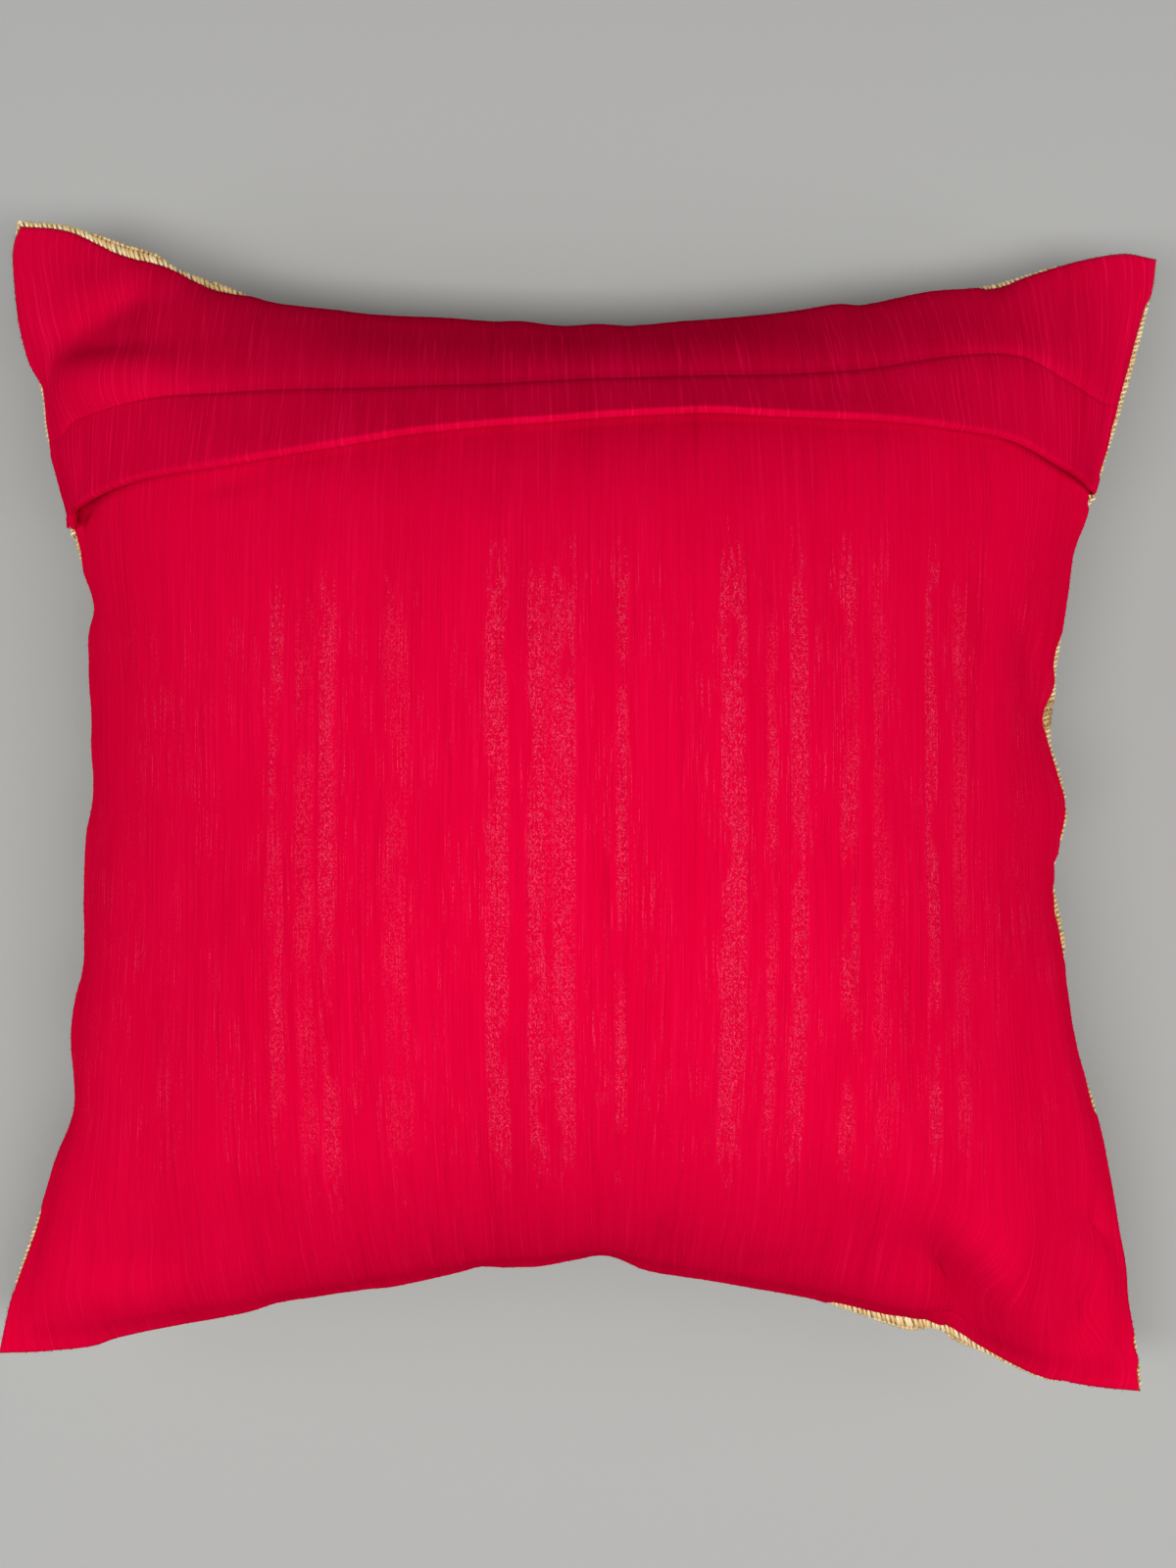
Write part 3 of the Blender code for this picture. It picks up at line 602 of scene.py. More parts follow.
@dataclass(frozen=True)
class FillingPressure:
    """Presses the filling against the cover's cloth, so that the cloth takes its own unevenness.

    The seam is held. What the cloth moves is smoothed and capped before it is used.
    """

    cells: int = 56
    flat_side: float = 398.0
    frames: int = 20
    pressure: float = 1.0
    point_mass: float = 0.005
    stretch_stiffness: float = 15.0
    shear_stiffness: float = 5.0
    bend_stiffness: float = 0.1
    damping: float = 1.0
    bend_damping: float = 0.8
    air_damping: float = 1.0
    quality: int = 6
    cap: float = 5.0
    share: float = 0.9
    smoothing: int = 2

    def settle(self, shape: CoverShape) -> None:
        """Runs the cloth and gives the cover its unevenness.

        Args:
            shape: The cover, which gets a shift of its back and of its front.
        """
        even = np.linspace(0.0, 1.0, self.cells + 1)
        across, up = np.meshgrid(even, even)
        start = {1: shape.back(across, up), -1: shape.front(across, up)}
        start[-1][:, 0], start[-1][:, -1] = start[1][:, 0], start[1][:, -1]
        start[-1][0], start[-1][-1] = start[1][0], start[1][-1]
        number, places, flat, rim = self.numbered(start, across, up)
        faces = np.concatenate([cell_corners(number[face])[:, ::face] for face in (1, -1)])
        piece = new_mesh("pressed_cover", places * MM, faces.tolist())
        piece.shape_key_add(name="as filled")
        piece.shape_key_add(name="as cut")
        piece.data.shape_keys.key_blocks["as cut"].data.foreach_set("co", (flat * MM).ravel())
        held = piece.vertex_groups.new(name="seam")
        held.add(rim.tolist(), 1.0, "REPLACE")
        self.add_cloth(piece)
        scene = bpy.context.scene
        for frame in range(1, self.frames + 1):
            scene.frame_set(frame)
        settled = piece.evaluated_get(bpy.context.evaluated_depsgraph_get())
        moved = np.zeros(len(places) * 3, np.float32)
        settled.data.vertices.foreach_get("co", moved)
        moved = moved.reshape(-1, 3).astype(float) / MM - places
        scene.frame_set(1)
        bpy.data.objects.remove(piece)
        shape.back_shift = self.softened(moved[number[1]])
        shape.front_shift = self.softened(moved[number[-1]])

    def numbered(
        self, start: dict[int, Array], across: Array, up: Array
    ) -> tuple[dict[int, Array], Array, Array, Array]:
        """Numbers the points of both faces, which share their rim.

        Args:
            start: The points of the back, under 1, and of the front, under -1.
            across: Shares of the width at the points.
            up: Shares of the height at the points.

        Returns:
            The numbers by face, the points as filled, the points as cut, and the rim's numbers.
        """
        size = self.cells + 1
        back = np.arange(size * size).reshape(size, size)
        inner = np.zeros((size, size), bool)
        inner[1:-1, 1:-1] = True
        front = back.copy()
        front[inner] = size * size + np.arange(inner.sum())
        places = np.concatenate([start[1].reshape(-1, 3), start[-1][inner]])
        flat_back = np.stack([across - 0.5, up - 0.5, np.zeros_like(across)], -1)
        flat_back *= self.flat_side
        flat = np.concatenate([flat_back.reshape(-1, 3), flat_back[inner]])
        return {1: back, -1: front}, places, flat, back[~inner]

    def add_cloth(self, piece: Piece) -> None:
        """Gives the pressed cover its cloth."""
        cloth = piece.modifiers.new("cloth", "CLOTH")
        settings = cloth.settings
        settings.quality = self.quality
        settings.mass = self.point_mass
        settings.tension_stiffness = settings.compression_stiffness = self.stretch_stiffness
        settings.shear_stiffness = self.shear_stiffness
        settings.bending_stiffness = self.bend_stiffness
        settings.tension_damping = settings.compression_damping = self.damping
        settings.shear_damping = self.damping
        settings.bending_damping = self.bend_damping
        settings.air_damping = self.air_damping
        settings.use_pressure = True
        settings.uniform_pressure_force = self.pressure
        settings.effector_weights.gravity = 0.0
        settings.vertex_group_mass = "seam"
        settings.rest_shape_key = piece.data.shape_keys.key_blocks["as cut"]
        cloth.collision_settings.use_collision = False
        cloth.point_cache.frame_end = self.frames

    def softened(self, shift: Array) -> Array:
        """What the cloth moved, smoothed, capped and at rest along the seam."""
        for _ in range(self.smoothing):
            wide = np.pad(shift, ((1, 1), (1, 1), (0, 0)), mode="edge")
            rows = (wide[:-2] + 2.0 * wide[1:-1] + wide[2:]) / 4.0
            shift = (rows[:, :-2] + 2.0 * rows[:, 1:-1] + rows[:, 2:]) / 4.0
        shift = shift * self.share
        length = np.linalg.norm(shift, axis=-1, keepdims=True)
        shift = shift * np.minimum(1.0, self.cap / np.maximum(length, 1e-6))
        shift[0], shift[-1], shift[:, 0], shift[:, -1] = 0.0, 0.0, 0.0, 0.0
        return shift


@dataclass(frozen=True)
class LayeredGrid:
    """A closed mesh between an inner and an outer grid of points, with its cloth measures.

    The grids run by row and column. The cloth grid holds each point's place in the flat
    cloth and its place along the nearest side, and the seam grid its distance to the nearest
    seam. The main face, which gets most of the room when the finish is drawn on the mesh, is
    the outer one unless main_inner is set. Each band of the drawing is its low end and height.
    """

    name: str
    inner: Array
    outer: Array
    cloth: Array
    seam: Array
    main_inner: bool = False
    map_margin: float = 0.01
    main_band: Pair = (0.23, 0.76)
    other_band: Pair = (0.01, 0.16)
    rim_band: Pair = (0.185, 0.03)

    def drawing(self, cells: Array, rim_faces: int) -> Array:
        """Lays the faces out flat, apart from each other.

        Args:
            cells: Corners of one grid's cells.
            rim_faces: Number of faces round the rim.

        Returns:
            The place of every corner of the faces, in their order.
        """
        rows, columns = self.inner.shape[:2]
        margin = self.map_margin
        across, up = np.meshgrid(np.linspace(0.0, 1.0, columns), np.linspace(0.0, 1.0, rows))
        flat = np.stack([margin + (1.0 - 2.0 * margin) * across.ravel(), up.ravel()], axis=-1)
        bands = (self.main_band, self.other_band)
        main, other = (flat * [1.0, height] + [0.0, low] for low, height in bands)
        inner_map, outer_map = (main, other) if self.main_inner else (other, main)
        along = np.linspace(margin, 1.0 - margin, rim_faces + 1)
        start, end = along[:-1], along[1:]
        low, high = self.rim_band[0], sum(self.rim_band)
        corners = np.stack([start, end, end, start], axis=1)
        levels = np.broadcast_to([low, low, high, high], corners.shape)
        rim_map = np.stack([corners, levels], axis=-1)
        parts = (inner_map[cells[:, ::-1]], outer_map[cells], rim_map)
        return np.concatenate([part.reshape(-1, 2) for part in parts])

    def build(self) -> Piece:
        """Makes the object, with its measures and its flat drawing map."""
        rows, columns = self.inner.shape[:2]
        count = rows * columns
        number = np.arange(count).reshape(rows, columns)
        cells = cell_corners(number)
        rim = [number[0, :-1], number[:-1, -1], number[-1, :0:-1], number[:0:-1, 0]]
        rim = np.concatenate(rim)
        after = np.roll(rim, -1)
        edge = np.stack([rim, after, after + count, rim + count], axis=-1)
        faces = np.concatenate([cells[:, ::-1], cells + count, edge])
        points = np.concatenate([self.inner.reshape(-1, 3), self.outer.reshape(-1, 3)])
        piece = new_mesh(self.name, placed(points), faces.tolist())
        mesh = piece.data
        cloth = np.concatenate([self.cloth.reshape(-1, 3)] * 2) * MM
        add_measure(mesh, "cloth", "FLOAT_VECTOR", "vector", cloth)
        add_measure(mesh, "seam", "FLOAT", "value", np.tile(self.seam.ravel(), 2) * MM)
        drawing = self.drawing(cells, len(rim))
        layer = mesh.uv_layers.new(name="OFBake")
        layer.uv.foreach_set("vector", drawing.astype(np.float32).ravel())
        return piece


def add_measure(mesh: bpy.types.Mesh, name: str, kind: str, field_name: str, values: Array) -> None:
    """Stores a measure of each point in the mesh."""
    measure = mesh.attributes.new(name, kind, "POINT")
    measure.data.foreach_set(field_name, values.astype(np.float32).ravel())


def turned_edge(inset: Array, radius: float) -> Array:
    """Share of its thickness that cloth has at a distance inside a turned edge."""
    inside = np.clip(inset / radius, 0.0, 1.0)
    return np.sqrt(np.maximum(1.0 - (1.0 - inside) ** 2, 0.0))


@dataclass(frozen=True)
class Gathers:
    """Small gathers that the stitches pull along the four seams, as waves along each seam."""

    short_wave: float = 1.55
    long_wave: float = 6.3
    cross_wave: float = 2.7
    cross_amount: float = 0.6
    middle: float = 5.0
    reach: float = 5.0
    phases: tuple[float, float, float, float] = (0.3, 1.9, 4.1, 2.6)

    def raised(self, shape: CoverShape, across: Array, up: Array, height: float) -> Array:
        """How far the gathers raise the cloth.

        Args:
            shape: The cover.
            across: Shares of the width.
            up: Shares of the height.
            height: Height of the gathers at the middle of a side.

        Returns:
            The rise at each place.
        """
        cloth = shape.cloth_place(across, up)
        total = np.zeros_like(across)
        for (side, share, inset), phase in zip(shape.by_side(across, up), self.phases):
            along = cloth[..., 0 if side in (BOTTOM, TOP) else 1]
            wave = np.sin(along / self.short_wave + phase)
            wave = wave * np.sin(along / self.long_wave + 2.0 * phase)
            wave = wave + self.cross_amount * np.sin(along / self.cross_wave + 3.0 * phase)
            hump = 4.0 * share * (1.0 - share)
            near = np.exp(-(((inset - self.middle) / self.reach) ** 2))
            total = total + height * wave * hump * near
        return total


@dataclass
class BackPanel:
    """Large back panel, from the bottom seam to its end hidden under the flap.

    It swells below the flap's edge, unevenly by a few waves (amount, turns across, phase), and
    again above the bottom seam. A ramp is where a swelling starts inside the seam, and how far
    it takes to its full height.
    """

    shape: CoverShape
    columns: int = 240
    rows: int = 190
    crowding: float = 0.6
    gap: float = 0.5
    thickness: float = 1.5
    least_thickness: float = 0.15
    edge_radius: float = 2.2
    hidden_share: float = 0.6
    ripple: float = 0.16
    swell: float = 2.0
    swell_start: float = 10.0
    swell_length: float = 55.0
    swell_ramp: Ramp = (2.0, 14.0)
    swell_waves: tuple[tuple[float, float, float], ...] = ((0.25, 23.0, 1.1), (0.15, 51.0, 0.0))
    low_swell: float = 4.8
    low_swell_start: float = 16.0
    low_swell_fade: float = 125.0
    low_swell_ramp: Ramp = (0.0, 14.0)
    flat: Pair = (0.40, 0.36)

    def swell_below_flap(self, across: Array, below: Array, inset: Array) -> Array:
        """How far the panel swells where the flap's edge no longer holds it down.

        Args:
            across: Shares of the width.
            below: Distances below the flap's free edge.
            inset: Distances to the nearest seam.

        Returns:
            How far each place is raised.
        """
        uneven = 1.0
        for amount, turns, phase in self.swell_waves:
            uneven = uneven + amount * np.sin(across * turns + phase)
        swell = self.swell * uneven * (1.0 - np.exp(-below / self.swell_start))
        return swell * np.exp(-below / self.swell_length) * stage_up(inset, *self.swell_ramp)

    def swell_above_seam(self, above: Array, inset: Array) -> Array:
        """How far the panel swells at a distance above the bottom seam."""
        swell = self.low_swell * (1.0 - np.exp(-above / self.low_swell_start))
        swell = swell * np.exp(-((above / self.low_swell_fade) ** 2))
        return swell * stage_up(inset, *self.low_swell_ramp)

    def build(self) -> Piece:
        """Makes the panel on the filled front."""
        shape = self.shape
        across = crowded(self.columns, self.crowding)[None, :]
        edge = smooth_column(FLAP_EDGE, 1, across)
        end = edge + (1.0 - edge) * self.hidden_share
        up = end * crowded(self.rows, self.crowding)[:, None]
        across = np.broadcast_to(across, up.shape)
        rise = shape.spans(across, up)[1]
        inset = shape.seam_distance(across, up, (LEFT, RIGHT, BOTTOM))
        round_off = turned_edge(inset, self.edge_radius)
        thickness = between(self.least_thickness, self.thickness, round_off)
        raised = Gathers().raised(shape, across, up, self.ripple) * round_off
        raised = raised + self.swell_below_flap(across, np.maximum((edge - up) * rise, 0.0), inset)
        raised = raised + self.swell_above_seam(up * rise, inset)
        inner = shape.on_back(across, up, self.gap + np.maximum(raised, 0.0))
        outer = shape.on_back(across, up, self.gap + thickness + raised)
        cloth = shape.cloth_place(across, up)
        return LayeredGrid("crimson_back_panel", inner, outer, cloth, inset).build()


@dataclass
class BackFlap:
    """Shallow flap from the top seam, whose turned hem lies over the panel.

    It is one sheet: the hem's under layer, the fold at the free edge, and the upper layer.
    A ramp is where something starts and how far it takes to its full amount, in shares of the
    width or of the flap's depth where the name says share, and in lengths inside the seam
    otherwise.
    """

    shape: CoverShape
    columns: int = 240
    under_rows: int = 8
    fold_rows: int = 8
    hem_rows: int = 30
    rows_past_hem: int = 36
    arc_steps: int = 120
    crowding: float = 0.6
    panel_top: float = 2.5
    panel_top_at_seam: float = 0.95
    drop_share_ramp: Ramp = (0.30, 0.50)
    drop: float = 2.0
    thickness: float = 0.95
    hem_thickness: float = 1.8
    hem_step: float = 1.8
    hem_step_middle: float = 8.0
    hem_pressed: float = 0.25
    hem_press_length: float = 12.0
    least_thickness: float = 0.12
    edge_radius: float = 2.2
    hem_swell: float = 2.2
    hem_bow: float = 1.3
    hem_start: float = 0.9
    hem_start_length: float = 0.15
    fold_sharpness: float = 60.0
    fold_press: float = 0.5
    rise_past_hem: float = 1.3
    rise_middle: float = 0.0
    rise_length: float = 2.2
    swell_length: float = 6.6
    swell_past_hem: float = 0.5
    swell_at_ear: float = 0.8
    ear_share: float = 0.3
    fall_share_ramp: Ramp = (0.36, 0.45)
    middle_start_share_ramp: Ramp = (0.08, 0.22)
    middle_end_share_ramp: Ramp = (0.72, 0.20)
    lift_fade: float = 3.0
    side_ramp: Ramp = (1.0, 16.0)
    top_bulge: float = 1.5
    bulge_start: float = 2.5
    bulge_fade: float = 16.0
    bulge_ramp: Ramp = (20.0, 60.0)
    seam_ridge: float = 0.7
    ridge_inset: float = 3.8
    ridge_width: float = 1.6
    ripple: float = 0.14
    flat: Pair = (0.40, 0.092)

    def __post_init__(self) -> None:
        """Lays out the sheet's rows by their distances from the free edge."""
        across = crowded(self.columns, self.crowding)
        edge = smooth_column(FLAP_EDGE, 1, across)
        ups = edge + (1.0 - edge) * np.linspace(0.0, 1.0, self.arc_steps)[:, None]
        points = self.shape.back(np.broadcast_to(across, ups.shape), ups)
        arc = np.linalg.norm(np.diff(points, axis=0), axis=2).cumsum(axis=0)
        arc = np.pad(arc, ((1, 0), (0, 0)))
        hem, whole, radius = smooth_column(FLAP_EDGE, 3, across), arc[-1], self.hem_thickness / 2.0
        under = radius + (hem - 2.0 * radius) * np.linspace(1.0, 0.0, self.under_rows)[:-1, None]
        self.turn = np.linspace(0.0, math.pi, self.fold_rows + 1)[:, None] + 0.0 * hem
        low = radius + (hem - radius) * crowded(self.hem_rows, self.crowding)[1:, None]
        high = hem + (whole - hem) * crowded(self.rows_past_hem, self.crowding)[1:, None]
        depth = np.concatenate([under, radius - radius * np.sin(self.turn), low, high])
        self.under = slice(0, len(under))
        self.fold = slice(len(under), len(under) + len(self.turn))
        inner_depth = depth.copy()
        inner_depth[self.fold] = radius - (radius - self.thickness) * np.sin(self.turn)
        self.across = np.broadcast_to(across, depth.shape)
        self.up, self.inner_up = (
            np.stack([np.interp(*column) for column in zip(rows.T, arc.T, ups.T)], axis=1)
            for rows in (depth, inner_depth)
        )
        self.depth, self.hem, self.share = depth, hem, depth / whole
        self.at_side = self.shape.seam_distance(self.across, self.up, (LEFT, RIGHT))

    def in_middle(self) -> Array:
        """Runs from 0 at the flap's ends to 1 over its middle."""
        start = stage_up(self.across, *self.middle_start_share_ramp)
        return start * (1.0 - stage_up(self.across, *self.middle_end_share_ramp))

    def hem_swelling(self) -> Array:
        """How far the hem swells off the panel."""
        before = np.clip((self.hem - self.depth) / self.hem, 0.0, 1.0)
        swell = self.hem_swell * before**self.hem_bow
        swell = swell + self.hem_start * (1.0 - np.exp(-before / self.hem_start_length))
        return swell * (1.0 - self.fold_press * before**self.fold_sharpness)

    def rise_behind(self) -> Array:
        """How far the single cloth rises again past the hem."""
        past = np.maximum(self.depth - self.hem, 0.0)
        step = between(self.rise_past_hem, self.rise_middle, self.in_middle())
        near_ear = np.maximum(1.0 - self.across / self.ear_share, 0.0)
        swell = self.swell_past_hem + self.swell_at_ear * near_ear
        rise = step * (1.0 - np.exp(-past / self.rise_length))
        rise = rise + swell * (1.0 - np.exp(-past / self.swell_length))
        return rise * (1.0 - stage_up(self.share, *self.fall_share_ramp))

    def lies_at(self) -> Array:
        """How far the flap's under side stands off the filled front."""
        rounded = turned_edge(self.at_side, self.edge_radius)
        top = between(self.panel_top_at_seam, self.panel_top, rounded)
        drop = top - (self.panel_top - self.drop)
        base = top - drop * stage_up(self.share, *self.drop_share_ramp)
        swell = self.hem_swelling() + self.rise_behind()
        lift = smooth_column(FLAP_EDGE, 2, self.across) * (1.0 - self.share) ** self.lift_fade
        return base + (swell + lift) * stage_up(self.at_side, *self.side_ramp)

    def seam_forms(self) -> Array:
        """Height of the ridge at the right seam, the gathers and the bulge below the top seam."""
        shape, across, up = self.shape, self.across, self.up
        from_right = shape.seam_distance(across, up, (RIGHT,))
        ridge = np.exp(-(((from_right - self.ridge_inset) / self.ridge_width) ** 2))
        ripple = np.maximum(Gathers().raised(shape, across, up, self.ripple), 0.0)
        from_top = shape.seam_distance(across, up, (TOP,))
        bulge = 1.0 - np.exp(-from_top / self.bulge_start)
        bulge = bulge * np.exp(-((from_top / self.bulge_fade) ** 2))
        bulge = bulge * self.top_bulge * stage_up(self.at_side, *self.bulge_ramp)
        return ridge * self.seam_ridge + ripple + bulge

    def build(self) -> Piece:
        """Makes the flap over the panel."""
        shape, across, up, fold = self.shape, self.across, self.up, self.fold
        inset = shape.seam_distance(across, up, (LEFT, RIGHT, TOP))
        sewn = turned_edge(inset, self.edge_radius)
        points = shape.seam_sheet(across, up)
        lies = self.lies_at() + self.seam_forms() * sewn
        lies = lies - fold_height(PANEL_DENTS, points[..., 0], points[..., 1])
        single = between(self.least_thickness, self.thickness, sewn)
        pressed = stage_up(self.at_side, 0.0, self.hem_press_length)
        pressed = between(self.hem_pressed, 1.0, pressed)
        doubled = single * (1.0 + (self.hem_thickness / self.thickness - 1.0) * pressed)
        step = between(self.hem_step, self.hem_step_middle, self.in_middle())
        past = stage_up(self.depth - self.hem, -step / 2.0, step)
        outer_off = lies + between(doubled, single, past)
        inner_off = outer_off - single
        outer_off[self.under] = lies[self.under]
        inner_off[self.under] = (lies + single)[self.under]
        middle = (lies + doubled / 2.0)[fold]
        outer_off[fold] = middle - doubled[fold] / 2.0 * np.cos(self.turn)
        inner_off[fold] = middle - (doubled / 2.0 - single)[fold] * np.cos(self.turn)
        outer = shape.on_back(across, up, outer_off)
        inner = shape.on_back(across, self.inner_up, inner_off)
        cloth = shape.cloth_place(across, up)
        return LayeredGrid("crimson_back_flap", inner, outer, cloth, inset).build()


class CrimsonEdge:
    """Where the crimson cloth's edge really lies, measured on the panel and the flap.

    The edge is measured in cells along each side, up to the most that it stands out. Rays
    that look for it come from a distance towards a line a little inside the seam.
    """

    cells = 150
    most = 5.0
    ray = 12.0
    inside = 0.8

    def __init__(self, pieces: Sequence[Piece]) -> None:
        """Measures the edge on every side.

        Args:
            pieces: The crimson pieces.
        """
        points: list[Array] = []
        faces: list[tuple[int, ...]] = []
        for piece in pieces:
            mesh = piece.data
            found = np.empty(len(mesh.vertices) * 3)
            mesh.vertices.foreach_get("co", found)
            before = sum(len(part) for part in points)
            faces.extend(tuple(before + k for k in face.vertices) for face in mesh.polygons)
            points.append(found.reshape(-1, 3) / MM - (PLAN_SHIFT[0], PLAN_SHIFT[1], 0.0))
        self.points = np.concatenate(points)
        self.skin = BVHTree.FromPolygons(self.points.tolist(), faces)
        self.levels = {id(side): self.measured(side) for side in SIDES}

    def measured(self, side: Side) -> Array:
        """How far the cloth stands out beyond a side's seam, in each cell along it."""
        plan = self.points[:, :2] - np.array(side.start)
        share = plan @ (np.array(side.end) - np.array(side.start)) / side.length**2
        out = side.draw_in(np.clip(share, 0.0, 1.0)) - plan @ side.inward
        near = (share > 0.0) & (share < 1.0) & (out > 0.0) & (out < self.most)
        level = np.zeros(self.cells)
        np.maximum.at(level, (share[near] * self.cells).astype(int), out[near])
        return level

    def overhang(self, side: Side, share: Array) -> Array:
        """How far the cloth stands out beyond a side's seam."""
        centres = (np.arange(self.cells) + 0.5) / self.cells
        return np.interp(share, centres, self.levels[id(side)])

    def round_seam(self, side: Side, share: float, turns: Sequence[float], off: float) -> Array:
        """Points that stand off the cloth round its edge.

        Args:
            side: The side.
            share: The share along it.
            turns: Angles round the seam in degrees, from outward at 0 to upward at 90.
            off: How far the points stand off the cloth.

        Returns:
            The points at the angles where the cloth is met.
        """
        middle = side.seam(np.array(share)) - side.outward * self.inside
        met = []
        for turn in np.radians(turns):
            way = side.outward * math.cos(turn) + np.array([0.0, 0.0, math.sin(turn)])
            found = self.skin.ray_cast(Vector(middle + way * self.ray), Vector(-way), self.ray)[0]
            if found is not None:
                met.append(np.array(found) + way * off)
        return np.array(met)


@dataclass
class FilledFront:
    """Brocade front cloth with the filling, and its lip past the back's edge."""

    shape: CoverShape
    edge: CrimsonEdge
    columns: int = 150
    rows: int = 150
    crowding: float = 0.72
    lip: tuple[float, ...] = (1.0, 0.93, 0.72, 0.4)
    least_reach: float = 0.05
    full_strip: float = 0.5
    lip_gap: float = 0.02
    fill: float = 0.8

    def reach(self, side: Side, share: Array) -> Array:
        """How far the lip reaches outward beyond the seam."""
        strip = side.strip_width(share)
        shown = np.minimum(1.0, strip / self.full_strip)
        return self.least_reach + strip + self.edge.overhang(side, share) * shown

    def build(self) -> Piece:
        """Makes the filled front."""
        shape = self.shape
        lip = np.array(self.lip)
        none = np.zeros(self.columns + 1)
        shares = np.concatenate([lip * 0.0, crowded(self.columns, self.crowding), lip * 0.0 + 1.0])
        before = np.concatenate([lip, none, lip * 0.0])
        across, up = np.meshgrid(shares, shares)
        left, low = np.meshgrid(before, before)
        right, high = left[:, ::-1], low[::-1]
        out = np.zeros(across.shape + (3,))
        amounts = (left, right, low, high)
        for (side, share, _), amount in zip(shape.by_side(across, up), amounts):
            step = self.reach(side, share) * amount
            out[..., :2] -= side.inward * step[..., None]
        amount = np.maximum.reduce(amounts)
        fall = (1.0 - np.sqrt(np.maximum(1.0 - amount**2, 0.0))) * shape.seam_drop / 2.0
        upper = shape.back(across, up) + out
        lower = shape.front(across, up) + out
        upper[..., 2] -= fall
        lower[..., 2] += np.minimum(fall, shape.seam_drop / 2.0 - self.lip_gap)
        inset = shape.seam_distance(across, up, SIDES)
        cloth = shape.cloth_place(across, up)
        cloth[..., :2] += out[..., :2]
        grid = LayeredGrid("brocade_filled_front", lower, upper, cloth, inset, main_inner=True)
        return grid.build()


class Strands:
    """A bundle of thin round threads, made as one mesh."""

    def __init__(self, name: str, sides: int) -> None:
        """Starts an empty bundle."""
        self.name = name
        self.sides = sides
        self.points: list[Array] = []
        self.faces: list[list[int]] = []
        self.tones: list[Array] = []
        self.count = 0

    def add(
        self, path: Array, radius: Array, tone: float, aside: Sequence[float] = (0.0, 0.0, 1.0)
    ) -> None:
        """Adds one thread.

        Args:
            path: The points that the thread follows.
            radius: The thread's radius at each point.
            tone: The thread's own tone, from 0 to 1.
            aside: A direction that the thread never follows.
        """
        path = np.asarray(path, float)
        along = np.gradient(path, axis=0)
        along /= np.linalg.norm(along, axis=1, keepdims=True)
        first = np.cross(along, np.asarray(aside, float))
        first /= np.maximum(np.linalg.norm(first, axis=1, keepdims=True), 1e-9)
        second = np.cross(along, first)
        turn = np.arange(self.sides) * 2.0 * math.pi / self.sides
        ring = first[:, None] * np.cos(turn)[:, None] + second[:, None] * np.sin(turn)[:, None]
        radius = np.broadcast_to(radius, len(path))
        rings = path[:, None] + ring * radius[:, None, None]
        points = np.concatenate([rings.reshape(-1, 3), path[:1], path[-1:]])
        number = self.count + np.arange(len(path) * self.sides).reshape(len(path), self.sides)
        after = np.roll(number, -1, axis=1)
        skin = np.stack([number[:-1], after[:-1], after[1:], number[1:]], axis=-1).reshape(-1, 4)
        start, end = self.count + len(points) - 2, self.count + len(points) - 1
        for ring_number, ring_after, tip, way in (
            (number[0], after[0], start, -1),
            (number[-1], after[-1], end, 1),
        ):
            cap = np.stack([ring_number, ring_after, np.full(self.sides, tip)], axis=-1)
            self.faces.extend(cap[:, ::way].tolist())
        self.faces.extend(skin.tolist())
        self.points.append(points)
        self.tones.append(np.full(len(points), tone))
        self.count += len(points)

    def build(self) -> Piece:
        """Makes the bundle's object."""
        piece = new_mesh(self.name, placed(np.concatenate(self.points)), self.faces)
        add_measure(piece.data, "tone", "FLOAT", "value", np.concatenate(self.tones))
        return piece


